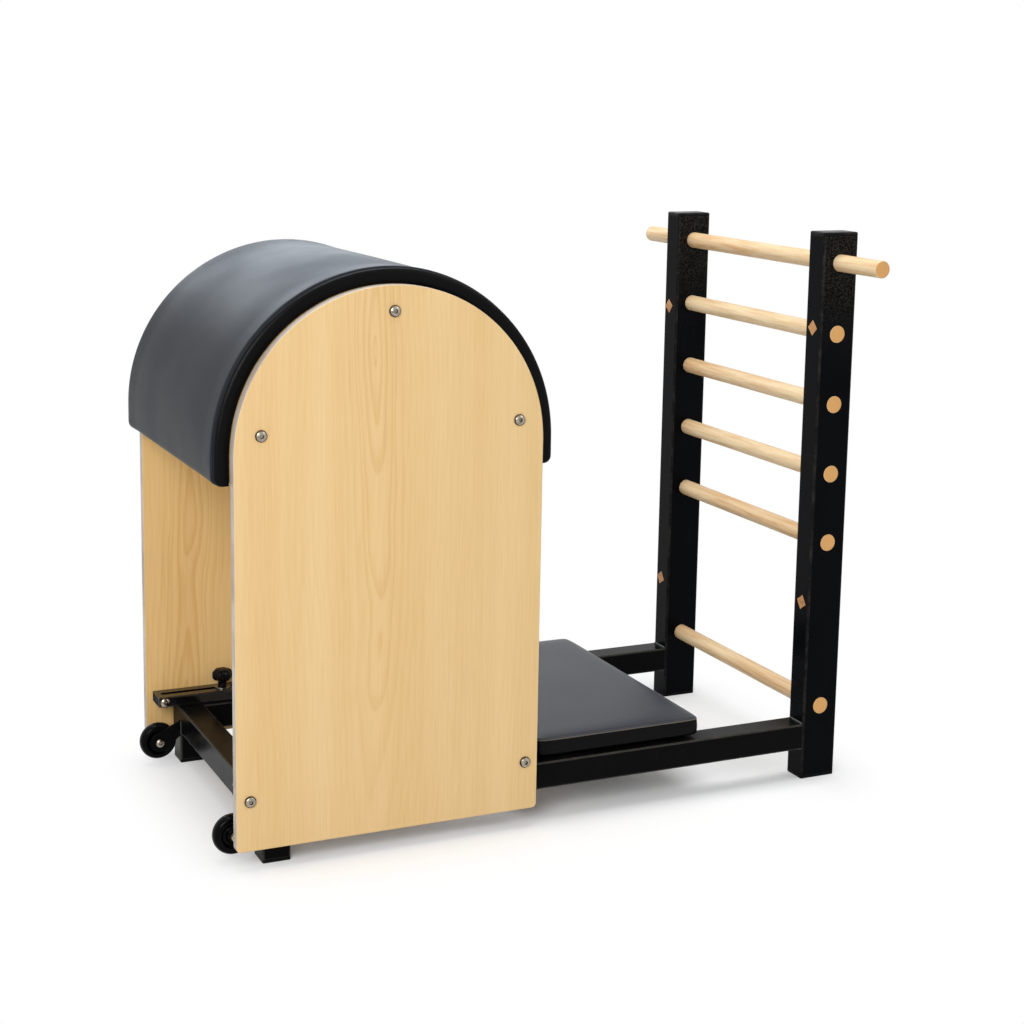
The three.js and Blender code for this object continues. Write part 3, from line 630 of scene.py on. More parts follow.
FLAT_SAWN = Effect("flat sawn figure", {"Depth": 0.03, "Taper": 0.05, "Pitch": 0.006, "Wander": 0.02},
                   ("Rings", "Fibre", "Bands", "Heart"), draw_flat_sawn)
PEBBLES = Effect("pebbled skin", {"Fineness": 900.0}, ("Height", "Mottle", "Creases"), draw_pebbles)
POWDER = Effect("powder coat skin", {"Fineness": 520.0}, ("Height", "Specks", "Haze"), draw_powder)
WEAR = Effect("edge wear", {"Mark": 0.0, "Amount": 0.5}, ("Wear",), draw_wear)
DUST = Effect("settled dust", {"Amount": 0.1}, ("Dust",), draw_dust)


# ---------------------------------------------------------------- finishes


def surface(colour, roughness, normal, shine: float = 0.5, metallic: float = 0.0) -> dict:
    """What the inputs of a material's shader are given, by name."""
    return {"Base Color": colour, "Roughness": roughness, "Normal": normal, "Specular IOR Level": shine,
            "Metallic": metallic}


@dataclass(frozen=True)
class Finish:
    """A finish: its name, and the material it makes once."""

    name: str

    def material(self) -> bpy.types.Material:
        """The material, made the first time it is asked for."""
        found = bpy.data.materials.get(self.name)
        if found is None:
            found = bpy.data.materials.new(self.name)
            found.use_nodes = True
            board = Board(found.node_tree)
            place = board.node("TexCoord").outputs["Object"]
            board.filled(found.node_tree.nodes["Principled BSDF"], **self.inputs(board, place))
        return found

    def inputs(self, board: Board, place: Socket) -> dict:
        """What the shader's inputs are given at a place on the piece."""
        raise NotImplementedError


@dataclass(frozen=True)
class Laminate(Finish):
    """Pale wood laminate with a flat-sawn figure about a centre line."""

    pale: Colour = tone(240, 206, 151)
    deep: Colour = tone(221, 180, 116)
    centre: tuple[float, float, float] = (0.0, 0.0, 0.0)
    depth: float = 0.0
    taper: float = 0.09
    wander: float = 0.066
    contrast: float = 0.38
    pitch: float = 0.0096

    def inputs(self, board: Board, place: Socket) -> dict:
        """Rings darken the face, fibres and bands vary it, and the pores are pressed in a little."""
        figure = FLAT_SAWN.on(board, board.vector("SUBTRACT", place, self.centre), Depth=self.depth, Taper=self.taper,
                              Pitch=self.pitch, Wander=self.wander)
        near_heart = board.eased(figure["Heart"], 0.0, 1.0, self.contrast * 0.2, self.contrast)
        share = board.plus(board.times(figure["Rings"], near_heart), board.eased(figure["Bands"], 0.3, 0.72, 0.04, 0.4),
                           board.eased(figure["Fibre"], 0.35, 0.75, -0.05, 0.26))
        return surface(board.layered(self.pale, (share, self.deep)), board.eased(figure["Fibre"], 0.2, 0.8, 0.37, 0.5),
                       board.bumped(figure["Fibre"], 0.00005, 0.5), 0.32)


@dataclass(frozen=True)
class EdgeBand(Finish):
    """The pale plastic band glued round a panel's edge."""

    colour: Colour = tone(206, 197, 188)
    shade: Colour = tone(174, 162, 152)

    def inputs(self, board: Board, place: Socket) -> dict:
        """Fine rolled lines along the band, and slow patches."""
        patch = board.noise(place, 9, 4.0, 0.6)
        return surface(board.layered(self.colour, (board.eased(patch, 0.35, 0.7), self.shade)),
                       board.eased(patch, 0.3, 0.7, 0.38, 0.5),
                       board.bumped(board.drawn_out(place, (900, 60, 60)), 0.00004, 0.4), 0.35)


@dataclass(frozen=True)
class TurnedWood(Finish):
    """Pale hardwood with its grain along one way."""

    pale: Colour = tone(243, 218, 176)
    deep: Colour = tone(206, 156, 98)
    stretch: tuple[float, float, float] = (1.0, 0.055, 1.0)
    roughness: float = 0.44
    fineness: float = 150.0

    def inputs(self, board: Board, place: Socket) -> dict:
        """Streaks from noise drawn out along the grain, with a few darker flecks and pores."""
        grain = board.vector("MULTIPLY", place, self.stretch)
        streak = board.noise(grain, self.fineness, 5.0, 0.62)
        broad = board.noise(grain, self.fineness / 6)
        fleck = board.eased(board.noise(board.vector("MULTIPLY", grain, (3.0, 3.0, 3.0)), self.fineness), 0.62, 0.78)
        share = board.plus(board.eased(streak, 0.38, 0.7, 0.0, 0.5), board.eased(broad, 0.35, 0.7, 0.0, 0.45),
                           board.times(fleck, 0.3))
        return surface(board.layered(self.pale, (share, self.deep)),
                       board.eased(streak, 0.3, 0.7, self.roughness - 0.05, self.roughness + 0.1),
                       board.bumped(streak, 0.00008, 0.5), 0.35)


@dataclass(frozen=True)
class EndGrain(Finish):
    """Hardwood cut across: fine curved rings about a heart outside the piece, and dark pores."""

    pale: Colour = tone(232, 176, 108)
    deep: Colour = tone(190, 134, 74)
    heart: tuple[float, float, float] = (0.03, 0.0, 0.02)

    def inputs(self, board: Board, place: Socket) -> dict:
        """Rings by distance across the grain, broken by pores."""
        rings = board.filled(board.node("TexWave", wave_type="RINGS", rings_direction="Y"), Scale=95, Distortion=1.6,
                             Detail=3, Vector=board.vector("ADD", place, self.heart))
        pores = board.eased(board.noise(place, 900), 0.56, 0.72)
        share = board.plus(board.times(rings.outputs["Fac"], 0.32), board.times(pores, 0.5))
        return surface(board.layered(self.pale, (share, self.deep)), board.eased(pores, 0.0, 1.0, 0.48, 0.7),
                       board.bumped(pores, -0.0001, 0.5), 0.3)


@dataclass(frozen=True)
class Plywood(Finish):
    """Birch plywood: veneer on its faces, and thin plies across its edges where the depth mark changes."""

    pale: Colour = tone(222, 193, 144)
    deep: Colour = tone(190, 152, 100)
    plies: float = 7.0
    stretch: tuple[float, float, float] = (1.0, 0.05, 1.0)

    def inputs(self, board: Board, place: Socket) -> dict:
        """Veneer streaks, with every second ply darker by the depth mark."""
        grain = board.noise(board.vector("MULTIPLY", place, self.stretch), 120, 5.0, 0.6)
        ply = board.value("PINGPONG", board.times(board.mark("depth"), self.plies), 1.0)
        share = board.plus(board.eased(grain, 0.35, 0.7, 0.0, 0.6), board.eased(ply, 0.4, 0.6, 0.0, 0.5))
        return surface(board.layered(self.pale, (share, self.deep)), board.eased(grain, 0.3, 0.7, 0.6, 0.75),
                       board.bumped(grain, 0.0001, 0.6), 0.25)


@dataclass(frozen=True)
class Coating(Finish):
    """Black powder coat or paint on steel."""

    colour: Colour = tone(5, 5, 7)
    haze: Colour = tone(10, 10, 11)
    bare: Colour = tone(120, 112, 100)
    roughness: float = 0.24
    peel: float = 0.00004
    specks: float = 0.06
    shine: float = 0.04
    wear: float = 0.1
    # rim: share of a pale line painted along the rounded edges, a painted highlight
    rim: float = 0.24
    # painted_sparkle_high: how much pale grain is painted high up on faces that look along Y, a painted highlight of
    # the orange peel
    painted_sparkle_high: float = 0.0

    def inputs(self, board: Board, place: Socket) -> dict:
        """Orange peel, an aged grain high up on the broad faces, pale specks, worn edges and a trace of dust."""
        skin = POWDER.on(board, place)
        mark = board.mark("wear_and_highlight")
        wear = WEAR.on(board, place, Mark=mark, Amount=self.wear)["Wear"]
        broad = board.eased(board.value("ABSOLUTE", board.facing()[1]), 0.6, 0.95)
        high = board.eased(board.split(place)[2], 0.8, 1.03, 0.0, self.painted_sparkle_high)
        colour = board.layered(
            self.colour,
            (board.eased(skin["Haze"], 0.3, 0.75), self.haze),
            # painted highlight: pale grain high up on the broad faces that look along Y
            (board.times(broad, high, board.eased(skin["Height"], 0.46, 0.62)), tone(92, 86, 76)),
            (board.times(skin["Specks"], self.specks), tone(92, 88, 80)),
            # painted highlight: a pale line along the rounded edges, placed by the edge mark
            (board.eased(mark, 0.6, 1.0, 0.0, self.rim), tone(104, 100, 94)),
            (wear, self.bare),
            (DUST.on(board, place, Amount=0.012)["Dust"], tone(190, 186, 180)),
        )
        rough = board.eased(skin["Haze"], 0.3, 0.75, self.roughness - 0.05, self.roughness + 0.1)
        return surface(colour, board.plus(rough, board.times(wear, 0.2)), board.bumped(skin["Height"], self.peel, 0.8),
                       self.shine)


@dataclass(frozen=True)
class Moulded(Finish):
    """Moulded black plastic or hard rubber with a spark-eroded texture."""

    colour: Colour = tone(7, 7, 8)
    pale: Colour = tone(13, 13, 14)
    roughness: float = 0.36
    shine: float = 0.07
    texture: float = 0.00005
    wear: float = 0.12

    def inputs(self, board: Board, place: Socket) -> dict:
        """A fine texture, paler edges and flow marks."""
        flow = board.noise(place, 22, 4.0, 0.6)
        colour = board.layered(
            self.colour,
            (board.eased(flow, 0.3, 0.75), self.pale),
            (WEAR.on(board, place, Mark=board.mark("wear_and_highlight"), Amount=self.wear)["Wear"], tone(96, 94, 92)),
            (DUST.on(board, place, Amount=0.015)["Dust"], tone(180, 176, 170)),
        )
        return surface(colour, board.eased(flow, 0.3, 0.75, self.roughness - 0.06, self.roughness + 0.08),
                       board.bumped(board.noise(place, 1500.0, 3.0, 0.6), self.texture, 0.7), self.shine)


@dataclass(frozen=True)
class Vinyl(Finish):
    """Upholstery vinyl: a pebbled skin with a soft sheen and slow waves from the foam below."""

    colour: Colour = tone(27, 30, 37)
    pale: Colour = tone(35, 39, 47)
    # valley: colour of the pebbles' valleys, a painted shade
    valley: Colour = tone(12, 12, 14)
    roughness: float = 0.4
    shine: float = 0.07
    wave: float = 0.0011

    def inputs(self, board: Board, place: Socket) -> dict:
        """Pebbles and creases press the normal, and the mottle varies colour and roughness."""
        skin = PEBBLES.on(board, place, Fineness=750.0)
        colour = board.layered(
            self.colour,
            (board.eased(skin["Mottle"], 0.3, 0.7), self.pale),
            # painted shade: darker in the pebbles' valleys
            (board.eased(skin["Height"], 0.0, 1.0, 0.3, 0.0), self.valley),
            (DUST.on(board, place, Amount=0.012)["Dust"], tone(196, 194, 190)),
        )
        rough = board.eased(skin["Mottle"], 0.25, 0.75, self.roughness - 0.05, self.roughness + 0.06)
        slow = board.bumped(skin["Mottle"], self.wave, 0.5)
        crease = board.bumped(skin["Creases"], 0.0005, 0.5, slow)
        return surface(colour, rough, board.bumped(skin["Height"], 0.00008, 0.6, crease), self.shine)


@dataclass(frozen=True)
class Thread(Finish):
    """Twisted sewing thread."""

    colour: Colour = tone(34, 36, 44)
    pale: Colour = tone(66, 70, 82)

    def inputs(self, board: Board, place: Socket) -> dict:
        """Slanting strands by a fine wave."""
        twist = board.filled(board.node("TexWave", bands_direction="DIAGONAL"), Vector=place, Scale=700).outputs["Fac"]
        return surface(board.layered(self.colour, (twist, self.pale)), 0.6, board.bumped(twist, 0.0001, 0.6))


@dataclass(frozen=True)
class Plated(Finish):
    """Plated or bare metal with fine scratches and dull patches."""

    colour: Colour = tone(176, 168, 155)
    dull: Colour = tone(128, 119, 106)
    roughness: float = 0.2

    def inputs(self, board: Board, place: Socket) -> dict:
        """Patches dull the metal, and drawn-out noise scratches it."""
        patch = board.noise(place, 260, 4.0, 0.65)
        return surface(board.layered(self.colour, (board.eased(patch, 0.35, 0.72), self.dull)),
                       board.eased(patch, 0.3, 0.75, self.roughness - 0.06, self.roughness + 0.16),
                       board.bumped(board.drawn_out(place, (2600, 240, 420)), 0.00003, 0.5), metallic=1.0)


NEAR_LAMINATE = Laminate("laminate of the near panel", centre=(-0.343, 0.0, 0.80))
# The far panel's colours are lighter and more saturated than the near panel's: painted light against the shade inside
# the barrel. Its figure is its own.
LIGHTENED_FAR_LAMINATE = Laminate("laminate of the far panel, painted lighter", tone(252, 213, 147), tone(231, 181, 109), (-0.5, 0.3, 0.42),
                        depth=0.01, taper=0.075, wander=0.1, contrast=0.42)
EDGE_BAND = EdgeBand("panel edge band")
RUNG_WOOD = TurnedWood("turned rung wood")
RUNG_END = EndGrain("end grain of the rungs")
LOZENGE_WOOD = TurnedWood("lozenge wood", tone(206, 152, 98), tone(160, 108, 62), (1.0, 0.2, 1.0), fineness=420.0)
SHELL_PLY = Plywood("bent plywood")
# Nearly black plywood on the step board: painted shade for the dark gap under the cushion.
BOARD_PLY_PAINTED_SHADE = Plywood("step board darkened as painted shade", tone(44, 36, 28), tone(22, 18, 15), stretch=(0.05, 1.0, 1.0))
BATTEN_WOOD = TurnedWood("sawn batten wood", tone(222, 196, 150), tone(188, 152, 102), roughness=0.7, fineness=90.0)
# Each coating's rim share paints a pale line along the rounded edges: a painted highlight.
FRAME_PAINT = Coating("black powder coat")
# The uprights also get pale grain painted high up: a painted highlight.
UPRIGHT_PAINT = Coating("black powder coat of the uprights", tone(4, 5, 8), tone(8, 9, 12), specks=0.12, peel=0.00007,
                        shine=0.03, rim=0.05, painted_sparkle_high=0.3)
BEAD_PAINT = Coating("black paint on the welds", haze=tone(44, 43, 42), roughness=0.16, shine=0.5)
BAR_PAINT = Coating("gloss black bar paint", roughness=0.1, peel=0.00001, specks=0.02, shine=0.6, wear=0.04, rim=0.1)
CAP_PLASTIC = Moulded("black cap plastic", roughness=0.34)
STRIP_PLASTIC = Moulded("black glide strip plastic", roughness=0.32)
PLUG_PLASTIC = Moulded("grey plug plastic", tone(38, 41, 48), tone(48, 51, 58), roughness=0.5)
KNOB_PLASTIC = Moulded("black knob plastic", roughness=0.3, shine=0.1)
WHEEL_PLASTIC = Moulded("gloss black wheel", tone(3, 3, 4), tone(6, 6, 7), roughness=0.1, shine=0.06, texture=0.000008,
                        wear=0.03)
PAD_VINYL = Vinyl("charcoal vinyl")
BAND_VINYL = Vinyl("black side band vinyl", tone(4, 4, 5), tone(8, 8, 9), tone(3, 3, 4), roughness=0.27, shine=0.08,
                   wave=0.0009)
# Pale warm vinyl on the step's piping: a painted highlight along the sewn edge.
PIPING_HIGHLIGHT_VINYL = Vinyl("step piping vinyl with painted highlight", tone(84, 78, 68), tone(104, 97, 86), roughness=0.3, shine=0.2)
STEP_VINYL = Vinyl("step vinyl", tone(45, 48, 55), tone(57, 60, 68), roughness=0.36, shine=0.14, wave=0.0009)
SEAM_THREAD = Thread("seam thread")
NICKEL = Plated("nickel plate")
# A darker brown nickel: painted shade and a painted reflection of the wood on the screws.
SHADED_NICKEL = Plated("nickel plate with painted shade and reflection", tone(92, 78, 62), tone(50, 40, 31), roughness=0.26)
STEEL = Plated("zinc plated steel", tone(196, 194, 190), tone(150, 146, 140), roughness=0.3)
BRASS = Plated("brass", tone(206, 168, 104), tone(150, 112, 62), roughness=0.3)


# ---------------------------------------------------------------- small fittings


def hexagon_reach(angles: Array, across_flats: float) -> Array:
    """How far a hexagon reaches at each angle: half its width over the cosine of the angle off its nearest flat."""
    off = (angles + math.pi / 6) % (math.pi / 3) - math.pi / 6
    return across_flats / 2 / np.cos(off)


@dataclass
class DomeScrew:
    """A domed socket screw along Y: its head's seat, the way the head faces, and its sizes."""

    seat: Array
    facing: float
    shank: float
    head_radius: float = 0.01025
    shank_radius: float = 0.004
    head_height: float = 0.0065
    rim: float = 0.0014
    socket: float = 0.0055
    socket_depth: float = 0.0032

    @classmethod
    def on(cls, box: Box, sign: float, spare: float, **sizes: float) -> "DomeScrew":
        """A screw whose head ends at a box's side, and whose shank is the box's length less something spare."""
        seat = box.centre
        seat[1] = box.side(1, sign) - sign * cls.head_height
        return cls(seat, sign, box.size[1] - spare, **sizes)

    def shell(self, steps: int = 48) -> Shell:
        """The screw, bright on the dome and dull elsewhere.

        Rings run from the socket's floor up its hexagonal wall, over a dome whose radius is R sin(a) and
        height rim + (H - rim) cos(a), round the rim, under the head and down the shank.
        """
        angles = turns(steps)
        hexagon = hexagon_reach(angles, self.socket)
        turn = np.linspace(math.asin(min(0.95, self.socket * 0.66 / self.head_radius)), RIGHT_ANGLE, 9)
        dome_height = self.rim + (self.head_height - self.rim) * np.cos(turn)
        top = dome_height[0]
        rows = [
            (hexagon * 0.25, top - self.socket_depth * 1.1), (hexagon * 0.9, top - self.socket_depth),
            (hexagon, top - self.socket_depth * 0.85), (hexagon, top - 0.0003), (hexagon * 1.06, top + 0.0001),
            *zip(self.head_radius * np.sin(turn), dome_height),
            (self.head_radius, self.rim * 0.4), (self.head_radius - 0.0003, 0.0), (self.shank_radius, 0.0),
            (self.shank_radius, -self.shank), (self.shank_radius - 0.0005, -self.shank - 0.0004),
        ]
        radius = np.stack([row[0] * np.ones(steps) for row in rows])
        height = np.array([[row[1]] for row in rows]) * self.facing
        # Bands 0 and 5 to 8 keep the bright nickel; the others take the painted shade and reflection.
        tags = np.ones(len(rows) - 1, int)
        tags[[0, 5, 6, 7, 8]] = 0
        return lofted(Way.Y.around(radius, angles, height) + self.seat, row_tags=tags, cap_tag=1)


def bead(start: Place, end: Place, radius: float, seed: int, count: int = 40) -> Shell:
    """A weld bead on a straight line: a tube whose radius ripples with the welder's steps.

    Its radius is r * (1 + 0.12 sin(steps along it)), with a seeded wander, and it narrows at both ends.
    """
    path = np.linspace(start, end, count)
    length = np.linalg.norm(path[-1] - path[0])
    share = np.linspace(0, 1, count)
    drawn = np.random.default_rng(seed).normal(0, 0.05, count)
    ripple = 1 + 0.12 * np.sin(share * length / 0.0032 * math.pi) + drawn
    swell = radius * ripple * np.sqrt(np.clip(np.minimum(share, 1 - share) * 14, 0.08, 1))
    along = (path[-1] - path[0]) / length
    first = np.cross(along, (1.0, 0, 0) if abs(along[2]) > 0.9 else (0, 0, 1.0))
    first /= np.linalg.norm(first)
    ring = polar(turns(10)) @ np.stack([first, np.cross(along, first)])
    return lofted(path[:, None] + ring * swell[:, None, None])


def plug(name: str, node: str, way: Way, corner: float, edge: float, outward: float) -> None:
    """Adds a tube's plug: a flange whose rim is a quarter circle, and a narrower stub that fits in the tube.

    Args:
        name: the piece's name.
        node: the CAD node it stands for.
        way: the tube's long way.
        corner: corner radius of the tube.
        edge: radius of the flange's rim.
        outward: 1 where the flange looks along the way, or -1.
    """
    box, long = Box.of(node), way.value[2]
    deep, stub, wall = box.size[long], 0.022, 0.0023
    flange = deep - stub
    inset, depth = quarter(edge, 6)
    insets = np.array([edge + 0.0008, *inset, 0, wall, wall, wall, wall + 0.0005])
    depths = np.array([0, *depth, flange, flange + 0.0002, flange + 0.0004, deep - 0.0005, deep])
    rings, marks = ringed(box, way, corner, 0.0012, insets, box.side(long, outward) - outward * depths)
    wear_and_highlight = np.zeros((len(insets), 1))
    wear_and_highlight[1:7] = 1
    added(name, lofted(rings, wear_and_highlight=np.maximum(wear_and_highlight, marks)), [CAP_PLASTIC], "frame", "black_plastic", node)


# ---------------------------------------------------------------- sub-assemblies


@dataclass
class Base:
    """The welded base: rails, cross beam, feet, plugs, wheel arms and glide strips."""

    corner: float = 0.0030
    beam_plug_edge: float = 0.0025
    foot_plug_edge: float = 0.0012
    bead_radius: float = 0.0024
    bead_gap: float = 0.001
    arm_root: float = 0.030
    arm_edge: float = 0.0006

    def build(self) -> None:
        """Makes the base's pieces."""
        for tag, sign in SIDES:
            self._tube(f"rail_{tag}", f"side_rail_{tag}", Way.X)
            self._tube(f"foot_post_{tag}", f"foot_{tag}", Way.Z)
            plug(f"beam_plug_{tag}", f"beam_end_cap_{tag}", Way.Y, self.corner, self.beam_plug_edge, sign)
            plug(f"foot_plug_{tag}", f"foot_cap_{tag}", Way.Z, self.corner, self.foot_plug_edge, -1.0)
            self._arm(tag)
            dressed(f"glide_strip_{tag}", STRIP_PLASTIC)
        self._tube("beam", "cross_beam", Way.Y)
        self._beads()

    def _tube(self, name: str, node: str, way: Way) -> None:
        """One tube with fine corners."""
        added(name, block(Box.of(node), way, self.corner), [FRAME_PAINT], "frame", "black_paint", node)

    def _arm(self, tag: str) -> None:
        """A wheel arm: a flat plate from the beam, whose outline is the hull of its root and its round eye."""
        node = f"wheel_bracket_{tag}"
        box = Box.of(node)
        eye = Box.of(f"transport_wheel_{tag}").centre[[0, 2]]
        root = np.array([[box.high[0], box.high[2]], [box.high[0], box.high[2] - self.arm_root]])
        lean = root.mean(axis=0) - eye
        angles = math.atan2(lean[1], lean[0]) + np.linspace(RIGHT_ANGLE, 3 * RIGHT_ANGLE, 33)
        outline = np.concatenate([root[:1], eye + (eye[0] - box.low[0]) * polar(angles), root[1:]])
        middle = outline.mean(axis=0)
        shares = 1 - np.array([3.2, 1.0, 0.3, 0, 0, 0.3, 1.0, 3.2]) * self.arm_edge / self.arm_root
        rise = np.array([0, 0, 0.3, 1.0]) * self.arm_edge
        depth = np.concatenate([box.low[1] + rise, box.high[1] - rise[::-1]])
        flat = middle + (outline - middle) * shares[:, None, None]
        rings = Way.Y.spread(flat[..., 1], flat[..., 0], depth[:, None])
        added(f"wheel_arm_{tag}", lofted(rings), [FRAME_PAINT], "frame", "black_paint", node)

    def _beads(self) -> None:
        """Weld beads where the tubes meet, each run as its start, end, size and seed."""
        beam, inset, beads = Box.of("cross_beam"), self.corner, []
        for number, (tag, sign) in enumerate(SIDES):
            rail, foot, arm = (Box.of(f"{kind}_{tag}") for kind in ("side_rail", "foot", "wheel_bracket"))
            ladder, rear, inner = rail.high[0], rail.low[0], rail.side(1, -sign)
            foot_inner, under, top = foot.side(1, -sign), beam.low[2], arm.high[2]
            runs = [((ladder, rail.low[1] + inset, z), (ladder, rail.high[1] - inset, z), 1.4, 11)
                    for z in (rail.low[2], rail.high[2])]
            runs += [
                ((rear, inner, rail.low[2] + inset), (rear, inner, rail.high[2] - inset), 1.0, 21),
                ((foot.low[0] + inset, foot_inner, under), (foot.high[0] - inset, foot_inner, under), 1.0, 31),
            ]
            root, tip = top - self.arm_root + self.bead_gap, top - self.bead_gap
            runs += [((beam.low[0], y, root), (beam.low[0], y, tip), 0.8, 41) for y in (arm.low[1], arm.high[1])]
            beads += [bead(start, end, self.bead_radius * share, seed + number) for start, end, share, seed in runs]
        added("weld_beads", joined(*beads), [BEAD_PAINT], "frame", "black_paint")


@dataclass
class Ladder:
    """The ladder: two drilled uprights with plugs, six turned rungs and four lozenges."""

    corner: float = 0.004
    top_plug_edge: float = 0.003
    foot_plug_edge: float = 0.0012
    handle_rim: float = 0.0018
    rung_rim: float = 0.0006
    rungs: int = 6
    lozenge_side: float = 0.021
    proud: float = 0.0005

    def build(self) -> None:
        """Makes the ladder's pieces."""
        for number in range(1, self.rungs + 1):
            self._rung(number)
        for tag, _ in SIDES:
            self._upright(tag)
            for end, outward, edge in (("top", 1.0, self.top_plug_edge), ("bottom", -1.0, self.foot_plug_edge)):
                plug(f"{end}_plug_{tag}", f"upright_{end}_cap_{tag}", Way.Z, self.corner, edge, outward)
            for level in ("upper", "lower"):
                added(f"lozenge_{level}_{tag}", self._lozenge(level, tag, self.lozenge_side, -self.proud, 0.006),
                      [LOZENGE_WOOD], "frame", "inlay_wood", f"diamond_inlay_{level}_{tag}")

    def _rung(self, number: int) -> None:
        """A turned rung: the top one has a longer rim at its ends, the others end just proud of the uprights."""
        node = f"rung_{number}"
        box, handle = Box.of(node), number == self.rungs
        radius = box.size[0] / 2
        end = box.high[1] + (0.0 if handle else self.proud)
        rim = self.handle_rim if handle else self.rung_rim
        inset, depth = quarter(rim, 5)
        half = np.array([(radius - rim - 0.0009, -end), *zip(radius - inset, depth - end), (radius, rim + 0.001 - end)])
        profile = np.concatenate([half, half[::-1] * (1, -1)])
        bands = [1] * 2 + [0] * (len(profile) - 5) + [1] * 2
        shell = turned(profile, Way.Y, box.centre * (1, 0, 1), 56, row_tags=bands, cap_tag=1)
        added(f"rung_bar_{number}", shell, [RUNG_WOOD, RUNG_END], "frame", "rung_wood", node, crease=60)

    def _upright(self, tag: str) -> None:
        """An upright tube with the rungs' bores and the lozenges' pockets cut in it."""
        node = f"upright_{tag}"
        box = Box.of(node)
        tools = []
        for number in range(1, self.rungs + 1):
            rung = Box.of(f"rung_{number}")
            radius = rung.size[0] / 2 + 0.0003
            centre = (rung.centre[0], box.centre[1], rung.centre[2])
            tools.append(turned(np.array([[radius, -0.04], [radius, 0.04]]), Way.Y, centre, 56))
        tools += [self._lozenge(level, tag, self.lozenge_side + 0.0005, -0.003, 0.004) for level in ("upper", "lower")]
        mesh = carved(node + "_tube", block(box, Way.Z, self.corner), joined(*tools))
        added(f"upright_tube_{tag}", mesh, [UPRIGHT_PAINT], "frame", "black_paint", node, crease=32)

    def _lozenge(self, level: str, tag: str, side: float, start: float, end: float) -> Shell:
        """A lozenge from one X to another past the upright's front, at the CAD node's centre and turn."""
        box, edge = Box.of(f"diamond_inlay_{level}_{tag}"), 0.0006
        turn = math.acos(min(1.0, box.size[1] / (self.lozenge_side * math.sqrt(2))))
        sway = -1 if (level, tag) == ("upper", "left") else 1
        half = side / math.sqrt(2)
        depths = np.array([[start], [start + edge], [end]]) + box.low[0]
        reaches = np.array([[half - edge * 1.4], [half], [half]])
        points = Way.X.around(reaches, np.arange(4) * RIGHT_ANGLE + sway * turn, depths)
        return lofted(points + box.centre * (0, 1, 1))


@dataclass
class Wheels:
    """The transport wheels with their axle screws and nuts."""

    head_radius: float = 0.0090
    nut_across: float = 0.013
    nut_bore: float = 0.0043

    def build(self) -> None:
        """Makes both sides' wheels, screws and nuts."""
        for tag, sign in SIDES:
            self._wheel(tag)
            box = Box.of(f"axle_bolt_{tag}")
            screw = DomeScrew.on(box, -sign, DomeScrew.head_height, head_radius=self.head_radius)
            added(f"axle_screw_{tag}", screw.shell(), [NICKEL, SHADED_NICKEL], "frame", "nickel", f"axle_bolt_{tag}")
            self._nut(tag, box)

    def _wheel(self, tag: str) -> None:
        """A wheel about Y: hub, dished web, rim and a tread whose edge is a quarter ellipse."""
        node = f"transport_wheel_{tag}"
        box = Box.of(node)
        outer, half = box.size[0] / 2, box.size[1] / 2
        face = rounded_profile([
            (0.0043, half - 0.0006, 0), (0.0050, half, 0.0004), (0.0118, half, 0.0012), (0.0140, 0.0058, 0.0022),
            (0.0192, 0.0052, 0.0022), (0.0222, half - 0.0012, 0.0016), (0.0262, half - 0.0002, 0.0016),
            (0.0288, half - 0.0006, 0),
        ])
        tread = (0.0282, 0) + polar(np.linspace(math.radians(78), 0, 11)) * (outer - 0.0282, half - 0.0003)
        side = np.concatenate([face, tread])
        profile = np.concatenate([side, side[-2::-1] * (1, -1)])
        added(f"wheel_tyre_{tag}", turned(profile, Way.Y, box.centre, 72, closed=True), [WHEEL_PLASTIC], f"wheel_{tag}",
              "wheel_rubber", node, crease=50)

    def _nut(self, tag: str, axle: Box) -> None:
        """The hexagon nut at an axle's end, with a chamfer of 30 degrees where its corners pass a circle."""
        node = f"axle_nut_{tag}"
        box = Box.of(node)
        angles = turns(72)
        hexagon = hexagon_reach(angles, self.nut_across)
        face = self.nut_across / 2 * 0.97
        chamfer = (hexagon - face) * math.tan(math.radians(30))
        bore, edge, thick = self.nut_bore, 0.0006, box.size[1]
        rows = [(bore, edge), (bore + edge, 0), (face, 0), (hexagon, chamfer), (hexagon, thick - chamfer),
                (face, thick), (bore + edge, thick), (bore, thick - edge)]
        radius, height = (np.stack([row[i] * np.ones(72) for row in rows]) for i in (0, 1))
        seat = np.array([axle.centre[0], box.low[1], axle.centre[2]])
        added(f"axle_hex_nut_{tag}", lofted(Way.Y.around(radius, angles, height) + seat, closed=True), [BRASS], "frame",
              "brass", node, crease=25)


